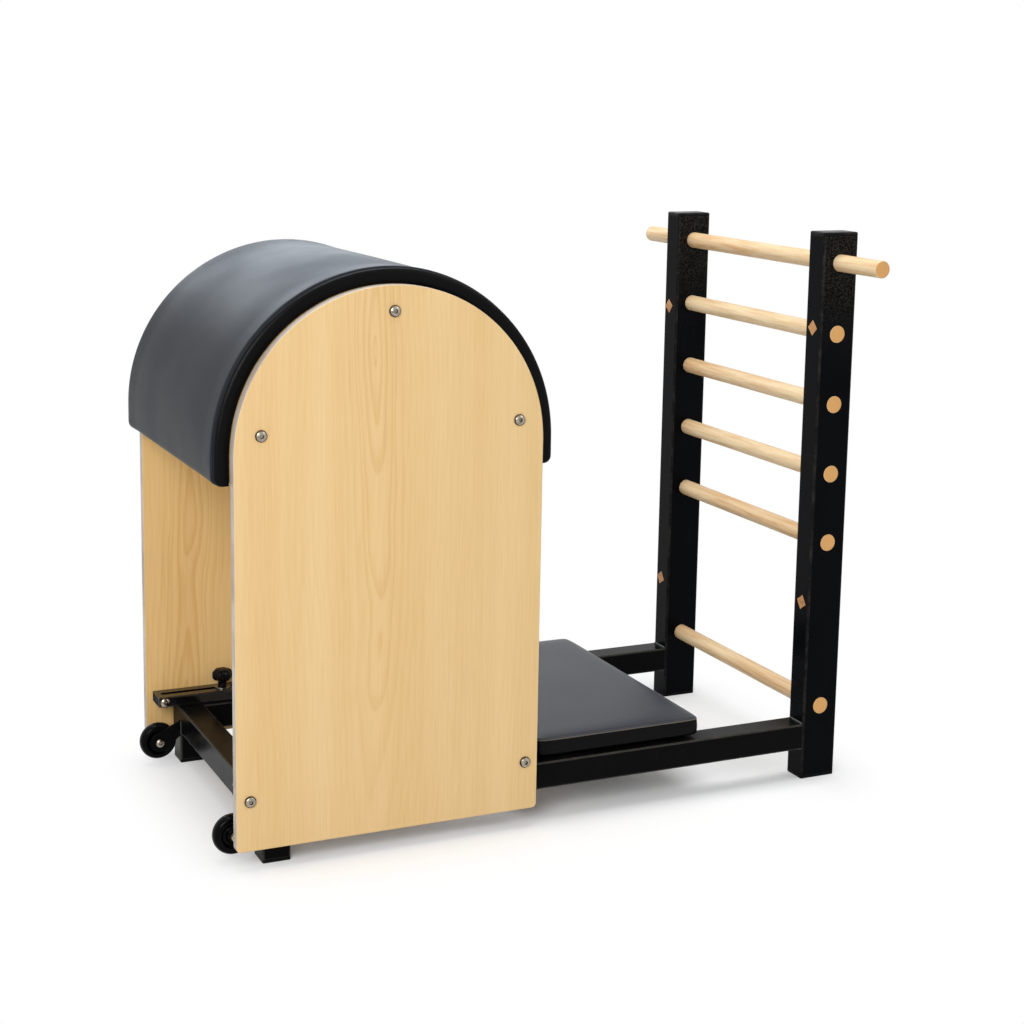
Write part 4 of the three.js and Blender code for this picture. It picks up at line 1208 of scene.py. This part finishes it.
@dataclass
class Carriage:
    """The barrel's hard parts: panels, bent shell, battens, slotted bars and screws."""

    edge: float = 0.0012
    foot_radius: float = 0.008
    bar_corner: float = 0.0025
    bar_wall: float = 0.002
    slot_width: float = 0.012
    slot_length: float = 0.300
    slot_margin: float = 0.009
    shell_thickness: float = 0.009
    screw_spare: float = 0.0068
    low_screw_spare: float = 0.0132
    sleeve_length: float = 0.004
    sleeve_radius: float = 0.0052

    def build(self) -> None:
        """Makes the carriage's pieces."""
        for tag, sign in SIDES:
            self._panel(tag)
            self._bar(tag)
            self._screws(tag, sign)
        self._drum()
        for node in ("rib_top", "rib_front", "rib_rear"):
            dressed(node, BATTEN_WOOD)

    def _panel(self, tag: str) -> None:
        """An arched panel: its outline drawn in by a quarter circle at both faces.

        The outline runs round one small foot corner, up a straight side, over a half circle, down the other
        side and round the other corner. Each of its points lies at a reach from a base along its own normal,
        and moves in along that normal.
        """
        node = f"side_panel_{tag}"
        box = Box.of(node)
        radius = box.size[0] / 2
        centre = np.array([box.centre[0], box.high[2] - radius])
        corner = np.array([radius - self.foot_radius, box.low[2] + self.foot_radius - centre[1]])
        flank = np.linspace(corner[1], 0, 30)[1:-1]
        foot, arc = np.linspace(0, RIGHT_ANGLE, 9), np.linspace(0, math.pi, 121)
        angles = np.concatenate([foot - RIGHT_ANGLE, 0 * flank, arc, 0 * flank + math.pi, foot + math.pi])
        bases = np.zeros((len(angles), 2))
        bases[:9], bases[-9:] = corner, corner * (-1, 1)
        bases[9:9 + len(flank), 1], bases[-9 - len(flank):-9, 1] = flank, flank[::-1]
        reach = np.full((len(angles), 1), radius)
        reach[:9] = reach[-9:] = self.foot_radius
        insets, places = ended(box.low[1], box.high[1], self.edge, self.edge + 0.0008, 5)
        flat = centre + bases + (reach - insets[:, None, None]) * polar(angles)
        rings = Way.Y.spread(flat[..., 1], flat[..., 0], places[:, None])
        bands = [0, 0, 0] + [1] * (len(insets) - 7) + [0, 0, 0]
        # the far panel's laminate is painted lighter
        finish = LIGHTENED_FAR_LAMINATE if tag == "left" else NEAR_LAMINATE
        shell = lofted(rings, row_tags=bands)
        added(f"panel_board_{tag}", shell, [finish, EDGE_BAND], "barrel", "laminate", node, crease=50)

    def _bar(self, tag: str) -> None:
        """A flat tube with a slot through both its broad walls."""
        node = f"slotted_bar_{tag}"
        box = Box.of(node)
        wall = np.array([0, self.bar_wall, self.bar_wall])
        inner = block(box.drawn_in(wall - (0.002, 0, 0)), Way.X, self.bar_corner - 0.001, 0.0002)
        half, start = self.slot_width / 2, box.low[0] + self.slot_margin
        slot_y = Box.of(f"side_rail_{tag}").centre[1]
        round_end = half * polar(np.linspace(-RIGHT_ANGLE, RIGHT_ANGLE, 17))
        near, far = (start + half, slot_y), (start + self.slot_length - half, slot_y)
        outline = np.concatenate([far + round_end, near - round_end])
        levels = np.array([[box.low[2] - 0.003], [box.high[2] + 0.003]])
        slot = lofted(Way.Z.spread(outline[:, 0], outline[:, 1], levels))
        hollow = carved(node + "_hollow", block(box, Way.X, self.bar_corner, 0.0004), inner)
        mesh = carved(node + "_bar", hollow, slot)
        added(f"carriage_bar_{tag}", mesh, [BAR_PAINT], "barrel", "gloss_black_bar", node, crease=32)
        self._bar_plugs(tag, box.drawn_in(wall))

    def _bar_plugs(self, tag: str, box: Box) -> None:
        """A plug just inside each open end of a bar, with four ribs on its face."""
        gap, rib_half, rib_inset = 0.0001, 0.0012, 0.0016
        bits = [((0.0014, 0.0090), box.low[1:] + gap, box.high[1:] - gap, 0.0014, 0.0005)]
        for share in (0.14, 0.38, 0.62, 0.86):
            rib = box.low[1] + box.size[1] * share
            bits.append(((0.0004, 0.0020), (rib - rib_half, box.low[2] + rib_inset),
                         (rib + rib_half, box.high[2] - rib_inset), 0.0005, 0.0003))
        parts = []
        for outer, inward in ((box.low[0], 1.0), (box.high[0], -1.0)):
            for reaches, low, high, corner, rim in bits:
                near, far = sorted(outer + inward * reach for reach in reaches)
                parts.append(block(Box(np.array([near, *low]), np.array([far, *high])), Way.X, corner, rim))
        added(f"bar_plugs_{tag}", joined(*parts), [PLUG_PLASTIC], "barrel", "black_plastic")

    def _screws(self, tag: str, sign: float) -> None:
        """Five domed screws through the panel, the two low ones with a second head inside the bar."""
        for place in ("top", "front", "rear", "lower_front", "lower_rear"):
            node = f"panel_bolt_{place}_{tag}"
            box, low = Box.of(node), place.startswith("lower")
            shell = DomeScrew.on(box, sign, self.low_screw_spare if low else self.screw_spare).shell()
            if low:
                sleeve = DomeScrew.on(box, -sign, box.size[1] - self.sleeve_length, shank_radius=self.sleeve_radius)
                shell = joined(shell, sleeve.shell())
            added(f"screw_{place}_{tag}", shell, [NICKEL, SHADED_NICKEL], "barrel", "nickel", node)

    def _drum(self) -> None:
        """The bent plywood: a thin rectangle carried up one skirt, over the arch and down the other."""
        box = Box.of("drum_shell")
        outer = box.size[0] / 2
        centre = np.array([box.centre[0], 0.0, box.high[2] - outer])
        skirt, half = centre[2] - box.low[2], box.high[1]
        angle = np.concatenate([[0, 0], np.linspace(0, math.pi, 91), [math.pi, math.pi]])[:, None]
        drop = np.concatenate([[skirt, skirt / 2], np.zeros(91), [skirt / 2, skirt]])[:, None]
        depth = np.concatenate([np.linspace(0, 1, 8), [1], np.linspace(1, 0, 8), [0]])
        across = np.concatenate([np.full(8, half), [0.0], np.full(8, -half), [0.0]])
        radius = outer - self.shell_thickness * depth
        points = Way.Y.spread(radius * np.sin(angle) - drop, radius * np.cos(angle), across)
        mesh = mesh_of("drum_skin", lofted(points + centre))
        marked(mesh, "depth", np.tile(depth, len(angle)))
        added("drum_skin", mesh, [SHELL_PLY], "barrel", "plywood", "drum_shell", crease=30)


class Skin(Enum):
    """What each point of the pad's section belongs to."""

    INNER = 0
    BAND = 1
    SEAM = 2
    CORD = 3
    SHEET = 4


@dataclass
class BarrelPad:
    """The barrel's upholstered pad: a charcoal sheet sewn to black side bands, stretched over foam."""

    seam_inset: float = 0.0060
    seam_thickness: float = 0.0268
    edge_thickness: float = 0.0286
    shoulder: float = 0.0190
    cord: float = 0.0014
    groove: float = 0.0023
    cord_sink: float = 0.0022
    groove_sink: float = 0.0024
    seam_sink: float = 0.0016
    roll_depth: float = 0.0036
    roll_reach: float = 0.0045
    band_tuck: float = 0.0012
    inner_inset: float = 0.003
    end_round: float = 0.013
    start_under: float = 0.0030
    swell: float = 0.0030
    stitch_pitch: float = 0.0042
    rows: int = 96

    def build(self) -> None:
        """Makes the cover and its stitches."""
        box = Box.of("barrel_pad")
        self.outer = box.size[0] / 2
        self.inner = Box.of("side_panel_left").size[0] / 2
        self.centre = np.array([box.centre[0], 0.0, box.high[2] - self.outer])
        self.skirt = self.centre[2] - box.low[2]
        self.half = box.high[1]
        self.crown = self.outer - self.inner
        self._cover()
        self._stitches()

    def _section(self) -> tuple[Array, Array, Array]:
        """The pad's closed section: places across, thickness over the shell, and what each point belongs to.

        The top sheet's thickness falls from the crown to the edge as |y / half|^5, less the swell to come, and
        rolls over into a groove. Beside the groove lies a half-round cord, and beside the cord the seam. The
        side band turns from the seam over a shoulder, a quarter ellipse, and hangs down to the shell.

        Returns:
            Across, thickness, and the value of each point's Skin.
        """
        half, seam = self.half, self.half - self.seam_inset
        cord_from, cord_to = self.groove / 2, self.groove / 2 + 2 * self.cord
        sheet_from = cord_to + self.groove
        on_sheet = sheet_from + np.array([0, 0.0008, 0.0020, 0.0040, 0.0075, 0.013, 0.021, 0.033, 0.051, 0.075, 0.103,
                                          0.133, 0.165, 0.199, 0.235])
        steps = np.concatenate([np.linspace(cord_from, cord_to, 7), [(cord_to + sheet_from) / 2], on_sheet])
        middle = np.concatenate([steps - seam, [0.0], (seam - steps)[::-1]])
        gap = seam - np.abs(middle)
        under = self.start_under * np.clip((gap - 0.009) / 0.05, 0, 1)
        rolled = np.clip(1 - (gap - sheet_from) / self.roll_reach, 0, 1)
        fall = (self.crown - self.edge_thickness) * np.abs(middle / half) ** 5
        sheet = self.crown - fall - under - self.roll_depth * rolled ** 3
        floor = self.seam_thickness - self.cord_sink
        cord = floor + np.sqrt(np.clip(self.cord ** 2 - (gap - cord_from - self.cord) ** 2, 0, 1))
        sewn = gap < sheet_from - 0.0001
        top = np.where(sewn, np.where(gap <= cord_to + 0.00001, cord, floor - self.groove_sink), sheet)
        turn = np.linspace(0.18, 1, 8) * RIGHT_ANGLE
        hang = np.linspace(0, 1, 7)[1:-1]
        band_y = np.concatenate([seam + self.seam_inset * np.sin(turn), half - self.band_tuck * hang ** 2])
        band_t = np.concatenate([self.shoulder + (self.seam_thickness - self.shoulder) * np.cos(turn),
                                 self.shoulder * (1 - hang)])
        seam_t = [self.seam_thickness - self.seam_sink]
        inner = np.linspace(half - self.inner_inset, self.inner_inset - half, len(middle) + 2)
        band = np.full(len(band_y), Skin.BAND.value)
        across = np.concatenate([middle, [seam], band_y, inner, -band_y[::-1], [-seam]])
        thick = np.concatenate([top, seam_t, band_t, 0 * inner, band_t[::-1], seam_t])
        skins = np.concatenate([np.where(sewn, Skin.CORD.value, Skin.SHEET.value), [Skin.SEAM.value], band,
                                np.full(len(inner), Skin.INNER.value), band, [Skin.SEAM.value]])
        return across, thick, skins

    def _stations(self) -> tuple[Array, Array, Array]:
        """Angle, drop and end rounding of each ring along the pad, from the front skirt over the arch to the rear."""
        squeeze, depth = quarter(self.end_round, 8)
        drop = self.skirt - depth
        drop = np.concatenate([drop, np.linspace(drop[-1], 0, 5)[1:-1]])
        squeeze = np.concatenate([squeeze, np.zeros(3)])
        none = np.zeros(self.rows)
        return (np.concatenate([0 * drop, np.linspace(0, math.pi, self.rows), 0 * drop + math.pi]),
                np.concatenate([drop, none, drop[::-1]]), np.concatenate([squeeze, none, squeeze[::-1]]))

    def _placed(self, angle: Array, drop: Array, across: Array, thick: Array) -> Array:
        """Points on the pad from angle about the arch, drop below its centre, place across and thickness."""
        radius = self.inner + thick
        return Way.Y.spread(radius * np.sin(angle) - drop, radius * np.cos(angle), across) + self.centre

    def _cover(self) -> None:
        """The cover, swollen by pressure between its seams."""
        across, thick, skins = self._section()
        angle, drop, squeeze = (values[:, None] for values in self._stations())
        thickness = np.where(skins == Skin.INNER.value, 0.0, thick * np.clip(1 - squeeze / self.crown, 0, 1))
        narrow = 1 - 0.0016 * (squeeze / self.end_round) / self.half
        points = self._placed(angle, drop, across * narrow, thickness)
        count, around = points.shape[:2]
        index = np.arange(count * around).reshape(count, around)
        gap = self.half - self.seam_inset - np.abs((across + np.roll(across, -1)) / 2)
        # A slim strip along the middle of each black cord takes the charcoal vinyl: a painted highlight.
        cord_highlight = (skins == Skin.CORD.value) & (np.abs(gap - self.groove / 2 - self.cord) < 0.6 * self.cord)
        on_sheet = np.minimum(skins, np.roll(skins, -1)) == Skin.SHEET.value
        faces = quads_between(index[:-1], index[1:]).tolist()
        # The grooves beside each cord take the black band vinyl, partly as painted shade in the creases.
        tags = np.tile(np.where(on_sheet | cord_highlight, 0, 1), count - 1).tolist()
        for ring, order in ((index[0], -1), (index[-1], 1)):
            cap = self._end_faces(ring, skins)
            faces += [face[::order] for face in cap]
            tags += [1] * len(cap)
        shell = Shell(points.reshape(-1, 3), faces, tags, np.zeros(count * around))
        piece = added("barrel_cover", shell, [PAD_VINYL, BAND_VINYL], "barrel", "charcoal_vinyl", "barrel_pad",
                      crease=180)
        held = np.ones((count, around), bool)
        held[8:-8, skins == Skin.SHEET.value] = False
        held[4:-4, skins == Skin.BAND.value] = False
        inflated(piece, held.ravel(), self.swell)
        subdivided(piece)

    @staticmethod
    def _end_faces(ring: Array, skins: Array) -> list:
        """Faces across the pad's lower end: quads between the sheet and the inner side, and a fan at each band."""
        top = ring[skins >= Skin.SEAM.value].tolist()
        top = top[-1:] + top[:-1]
        band = ring[skins == Skin.BAND.value].tolist()
        inner = ring[skins == Skin.INNER.value][::-1].tolist()
        right, left = band[:len(band) // 2], band[len(band) // 2:]
        faces = [[top[i], inner[i], inner[i + 1], top[i + 1]] for i in range(min(len(top), len(inner)) - 1)]
        return faces + [[top[-1], inner[-1]] + right[::-1], [inner[0], top[0]] + left[::-1]]

    def _stitches(self) -> None:
        """Stitches in the groove beside each cord: short capsules of thread, turned to follow the path."""
        radius = self.inner + self.edge_thickness - 0.0007
        straight = self.skirt - self.end_round - 0.004
        length = 2 * straight + math.pi * radius
        count = int(length / self.stitch_pitch)
        where = (np.arange(count) + 0.5) * length / count
        angle = np.clip((where - straight) / radius, 0, math.pi)
        drop = np.maximum(straight - where, 0) + np.maximum(where - straight - math.pi * radius, 0)
        turn = np.linspace(-RIGHT_ANGLE, RIGHT_ANGLE, 5)[None, :, None, None]
        lengthwise, girth = 0.0014 * np.sin(turn), 0.00038 * np.cos(turn) + 0.00006
        around = polar(turns(6))[None, None]
        ahead = Way.Y.spread(np.cos(angle), -np.sin(angle), 0 * angle)[:, None, None]
        out = Way.Y.spread(np.sin(angle), np.cos(angle), 0 * angle)[:, None, None]
        ring = around[..., :1] * np.array([0.0, 1.0, 0.0]) + around[..., 1:] * out
        shape = lengthwise * ahead + girth * ring
        stitches = []
        for _, sign in SIDES:
            across = sign * (self.half - self.seam_inset - 2 * self.groove - 2 * self.cord)
            middle = self._placed(angle, drop, across, radius - self.inner)
            stitches += [lofted(rings) for rings in middle[:, None, None] + shape]
        added("cover_stitches", joined(*stitches), [SEAM_THREAD], "barrel", "charcoal_vinyl")


@dataclass
class Step:
    """The upholstered step: a crowned cushion with a sewn edge on its board."""

    corner: float = 0.022
    seam_height: float = 0.030
    bulge: float = 0.0026
    swell: float = 0.0012
    roll: float = 0.042
    crowding: float = 0.94
    top_inset: float = 0.0062
    top_lift: float = 0.0022
    bottom_inset: float = 0.010
    across: tuple[int, int] = (33, 45)

    def build(self) -> None:
        """Makes the cushion and dresses the board."""
        # the board's near-black plywood is painted shade
        dressed("step_board", BOARD_PLY_PAINTED_SHADE)
        self.box = Box.of("step_cushion")
        self._cushion()

    def _flat(self, inset: float) -> Array:
        """A grid over a rectangle with round corners, drawn in by an inset.

        Rows and columns crowd to the edges as sines do. Near a corner a point moves in by
        c |u|^p |v|^q, with p and q such that the outline turns through the corner without a kink.
        """
        half = self.box.size[:2] / 2 - inset
        end = RIGHT_ANGLE * self.crowding
        u, v = np.meshgrid(*(np.sin(np.linspace(-end, end, count)) / math.sin(end) for count in self.across),
                           indexing="ij")
        draw = max(self.corner - inset, self.corner * 0.4) * (1 - math.sqrt(0.5))
        pull = draw * np.abs(u) ** (half[0] / 2 / draw) * np.abs(v) ** (half[1] / 2 / draw)
        grid = np.stack([u, v], -1)
        return self.box.centre[:2] + half * grid - np.sign(grid) * pull[..., None]

    def _top(self) -> Array:
        """The crowned top: its height rises from the seam by a product of both distances from the edges."""
        outer = self._flat(0.0) - self.box.centre[:2]
        spread = np.abs(outer) / np.abs(outer).max(axis=(0, 1))
        falls = 1 - np.clip((1 - spread) * self.box.size[:2] / 2 / self.roll, 0, 1)
        rise = (1 - falls ** 2.2).prod(axis=-1)
        start = self.seam_height + self.top_lift
        height = start + (self.box.size[2] - start - self.swell) * rise ** 0.55
        return np.concatenate([self._flat(self.top_inset), self.box.low[2] + height[..., None]], -1)

    def _cushion(self) -> None:
        """The cover: a bottom, a bulging band, a piped seam, and a crowned top that pressure swells."""
        floor, seam = self.box.low[2], self.seam_height
        grid = np.arange(self.across[0] * self.across[1]).reshape(self.across)
        loop = np.concatenate([grid[:, 0], grid[-1, 1:], grid[-2::-1, -1], grid[0, -2:0:-1]])
        bottom = np.concatenate([self._flat(self.bottom_inset), np.full((*self.across, 1), floor)], -1)
        rows = [(0.0075, 0.0), (0.0035, 0.0006), (0.0012, 0.003)]
        rows += [(self.bulge * (1 - math.sin(x * math.pi)) * 0.6, seam * x) for x in np.linspace(0.12, 0.92, 7)]
        rows += [(inset, seam + rise) for inset, rise in (
            (0.0016, -0.0014), (0.0030, -0.0010), (0.0014, -0.0004), (0.0010, 0.0004), (0.0018, 0.0012),
            (0.0032, 0.0012), (0.0034, 0.0020), (0.0048, 0.0026))]
        rings = np.stack([np.insert(self._flat(inset).reshape(-1, 2)[loop], 2, floor + z, axis=1) for inset, z in rows])
        quads = np.stack([grid[:-1, :-1], grid[1:, :-1], grid[1:, 1:], grid[:-1, 1:]], -1).reshape(-1, 4)
        ring_index = 2 * grid.size + np.arange(rings.size // 3).reshape(len(rows), len(loop))
        chain = np.concatenate([(grid.size + loop)[None], ring_index, loop[None]])
        faces = np.concatenate([quads, (quads + grid.size)[:, ::-1], quads_between(chain[:-1], chain[1:])]).tolist()
        level = np.arange(len(chain) - 1)
        # bands 12 to 15, the piping, take the pale vinyl, a painted highlight
        band_tags = np.where(level < 12, 1, np.where(level < 16, 2, 0))
        tags = [0] * len(quads) + [1] * len(quads) + np.repeat(band_tags, len(loop)).tolist()
        points = np.concatenate([part.reshape(-1, 3) for part in (self._top(), bottom, rings)])
        piece = added("step_cover", Shell(points, faces, tags, np.zeros(len(points))),
                      [STEP_VINYL, BAND_VINYL, PIPING_HIGHLIGHT_VINYL], "frame", "black_vinyl", "step_cushion", crease=180)
        held = np.ones(len(points), bool)
        held[grid[2:-2, 2:-2]] = False
        inflated(piece, held, self.swell)
        subdivided(piece)


@dataclass
class Clamps:
    """The clamping knobs, with their studs and washers."""

    lobes: int = 6
    lobe_depth: float = 0.0034
    neck_radius: float = 0.0085
    neck_height: float = 0.012
    washer_bore: float = 0.0053
    washer_edge: float = 0.0004

    def build(self) -> None:
        """Makes both sides' knobs and washers."""
        for tag, _ in SIDES:
            node = f"clamp_washer_{tag}"
            box = Box.of(node)
            added(f"washer_ring_{tag}", self._washer(box), [NICKEL], f"washer_{tag}", "nickel", node)
            self._knob(tag, box.high[2])

    def _washer(self, box: Box) -> Shell:
        """A flat ring about Z with small chamfers."""
        inner, outer, thick, edge = self.washer_bore, box.size[0] / 2, box.size[2], self.washer_edge
        profile = np.array([
            [inner, edge], [inner + edge, 0], [outer - edge, 0], [outer, edge], [outer, thick - edge],
            [outer - edge, thick], [inner + edge, thick], [inner, thick - edge],
        ])
        return turned(profile, Way.Z, (*box.centre[:2], box.low[2]), closed=True)

    def _knob(self, tag: str, washer_top: float) -> None:
        """A knob: rings of radius, height and share of the lobes, blended in from the neck to the head.

        The lobes take d / 2 (1 - cos(lobes * angle))^1.15 from the radius at an angle.
        """
        node = f"clamp_knob_{tag}"
        box = Box.of(node)
        radius, low, top = box.size[0] / 2, box.low[2], box.high[2]
        seat = washer_top + 0.0003
        head = seat + self.neck_height
        rows = np.array([
            (0.0044, low, 0), (0.0050, low + 0.0006, 0), (0.0050, seat, 0), (0.0080, seat, 0),
            (self.neck_radius, seat + 0.0005, 0), (self.neck_radius, head - 0.003, 0), (0.0092, head - 0.001, 0),
            (0.0115, head + 0.0002, 0.15), (radius - 0.0048, head + 0.0004, 0.8), (radius - 0.0026, head + 0.0022, 1),
            (radius - 0.0006, head + 0.0048, 1), (radius, head + 0.0064, 1), (radius, top - 0.0078, 1),
            (radius - 0.0006, top - 0.0062, 1), (radius - 0.0026, top - 0.0036, 1),
            (radius - 0.0050, top - 0.0018, 0.9), (radius - 0.0075, top - 0.0010, 0.5),
            (0.0100, top - 0.0006, 0.15), (0.0072, top - 0.0004, 0), (0.0068, top - 0.0010, 0),
            (0.0030, top - 0.0010, 0), (0.0008, top - 0.0009, 0),
        ])
        angles = turns(96)
        wave = self.lobe_depth * 0.5 * (1 - np.cos(self.lobes * angles)) ** 1.15
        points = Way.Z.around(rows[:, :1] - rows[:, 2:] * wave, angles, rows[:, 1:2]) + box.centre * (1, 1, 0)
        shell = lofted(points, row_tags=[1, 1, 1] + [0] * (len(rows) - 4))
        added(f"knob_head_{tag}", shell, [KNOB_PLASTIC, STEEL], f"knob_{tag}", "knob_plastic", node, crease=40)


# ---------------------------------------------------------------- studio


@dataclass
class Studio:
    """Camera, lamps, world and floor."""

    place: tuple[float, float, float] = (-1.45005, -3.23696, 1.31225)
    yaw: float = 0.434426
    pitch: float = -0.170748
    roll: float = 0.016967
    lens: float = 66.83
    shift_up: float = -0.0958
    dome: float = 0.36
    floor_lift: float = 0.06
    floor_size: float = 12.0
    shadow_centre: tuple[float, float, float] = (0.025, 0.0, 0.0)
    shadow_half: tuple[float, float, float] = (0.475, 0.25, 0.0)
    shadow_reach: float = 0.26

    def build(self) -> None:
        """The camera first, then the world, the floor and the lamps."""
        self._camera()
        self._world()
        self._floor()
        middle, white = (-0.1, 0.0, 0.5), (1.0, 1.0, 1.0)
        self._lamp("key", (2.6, -2.6, 3.0), middle, 1.8, 1.8, 18, white)
        self._lamp("top", (-0.2, 0.2, 3.4), middle, 2.4, 2.0, 62, white)
        self._lamp("front", (-2.6, -3.2, 2.2), (-0.4, 0.0, 0.4), 2.0, 1.8, 97, white)
        self._lamp("rim", (0.4, 4.6, 2.3), (-0.3, 0.0, 0.8), 3.0, 1.4, 42, (0.78, 0.89, 1.0))
        bpy.context.scene.view_settings.view_transform = "Standard"

    def _camera(self) -> None:
        """The camera, turned by yaw about Z, then pitch, then roll about its own view."""
        cos, sin = math.cos, math.sin
        ahead = Vector((sin(self.yaw) * cos(self.pitch), cos(self.yaw) * cos(self.pitch), sin(self.pitch)))
        right = ahead.cross(Vector((0, 0, 1))).normalized()
        up = right.cross(ahead)
        rolled = right * cos(self.roll) + up * sin(self.roll)
        upright = up * cos(self.roll) - right * sin(self.roll)
        data = bpy.data.cameras.new("camera")
        data.lens, data.sensor_width, data.shift_y, data.clip_end = self.lens, 36, self.shift_up, 60
        eye = bpy.data.objects.new("camera", data)
        eye.matrix_world = Matrix.Translation(self.place) @ Matrix((rolled, upright, -ahead)).transposed().to_4x4()
        bpy.context.scene.collection.objects.link(eye)
        bpy.context.scene.camera = eye

    @staticmethod
    def _seen(board: Board) -> Socket:
        """1 for camera, glossy and transmission rays."""
        path = board.node("LightPath").outputs
        seen = board.value("MAXIMUM", path["Is Camera Ray"], path["Is Glossy Ray"])
        return board.value("MAXIMUM", seen, path["Is Transmission Ray"])

    def _world(self) -> None:
        """A white world for the eye and for reflections, and a plain dome for light."""
        world = bpy.data.worlds.new("studio")
        bpy.context.scene.world = world
        world.use_nodes = True
        nodes = world.node_tree.nodes
        board = Board(world.node_tree)
        dome = board.filled(nodes["Background"], Color=(0.98, 0.99, 1.0), Strength=self.dome)
        white = board.filled(board.node("Background"), Color=(1.0, 1.0, 1.0), Strength=1.0)
        mixed = board.fed(board.node("MixShader"), (self._seen(board), dome.outputs[0], white.outputs[0]))
        board.feed(nodes["World Output"].inputs["Surface"], mixed.outputs[0])

    @staticmethod
    def _lamp(name: str, place: Place, target: Place, width: float, height: float, watts: float,
              colour: Colour) -> None:
        """One soft box that looks at a target."""
        data = bpy.data.lights.new(name, "AREA")
        data.shape, data.size, data.size_y, data.energy, data.color = "RECTANGLE", width, height, watts, colour
        light = bpy.data.objects.new(name, data)
        light.location = place
        light.rotation_euler = (Vector(target) - Vector(place)).to_track_quat("-Z", "Y").to_euler()
        bpy.context.scene.collection.objects.link(light)

    def _floor(self) -> None:
        """A pale floor that keeps the shadow near the object, and turns to plain white for the eye away from it."""
        size = self.floor_size
        mesh = bpy.data.meshes.new("floor")
        mesh.from_pydata([(-size, -size, 0), (size, -size, 0), (size, size, 0), (-size, size, 0)], [], [(0, 1, 2, 3)])
        material = bpy.data.materials.new("floor")
        material.use_nodes = True
        nodes = material.node_tree.nodes
        nodes.remove(nodes["Principled BSDF"])
        board = Board(material.node_tree)
        seen = self._seen(board)
        colour = board.layered((0.66, 0.67, 0.68), (seen, (0.97, 0.97, 0.97)))
        plain = board.filled(board.node("BsdfDiffuse"), Color=colour)
        lift = board.filled(board.node("Emission"), Strength=board.times(seen, self.floor_lift))
        both = board.fed(board.node("AddShader"), (plain.outputs[0], lift.outputs[0]))
        place = board.vector("SUBTRACT", board.node("TexCoord").outputs["Object"], self.shadow_centre)
        beyond = board.vector("SUBTRACT", board.vector("ABSOLUTE", place), self.shadow_half)
        away = board.vector("LENGTH", board.vector("MAXIMUM", beyond, (0.0, 0.0, 0.0))).node.outputs["Value"]
        far = board.times(board.eased(away, 0.0, self.shadow_reach), seen)
        white = board.node("Emission")
        mixed = board.fed(board.node("MixShader"), (far, both.outputs[0], white.outputs[0]))
        board.feed(nodes["Material Output"].inputs["Surface"], mixed.outputs[0])
        mesh.materials.append(material)
        ground = bpy.data.objects.new("floor", mesh)
        bpy.context.scene.collection.objects.link(ground)


def main() -> None:
    """Builds the studio and every sub-assembly, then writes the sizes."""
    logging.basicConfig(level=logging.INFO, format="%(name)s: %(message)s")
    for part in (Studio(), Base(), Ladder(), Wheels(), Carriage(), BarrelPad(), Step(), Clamps()):
        LOG.info("%s", type(part).__doc__)
        part.build()


if __name__ == "__main__":
    main()
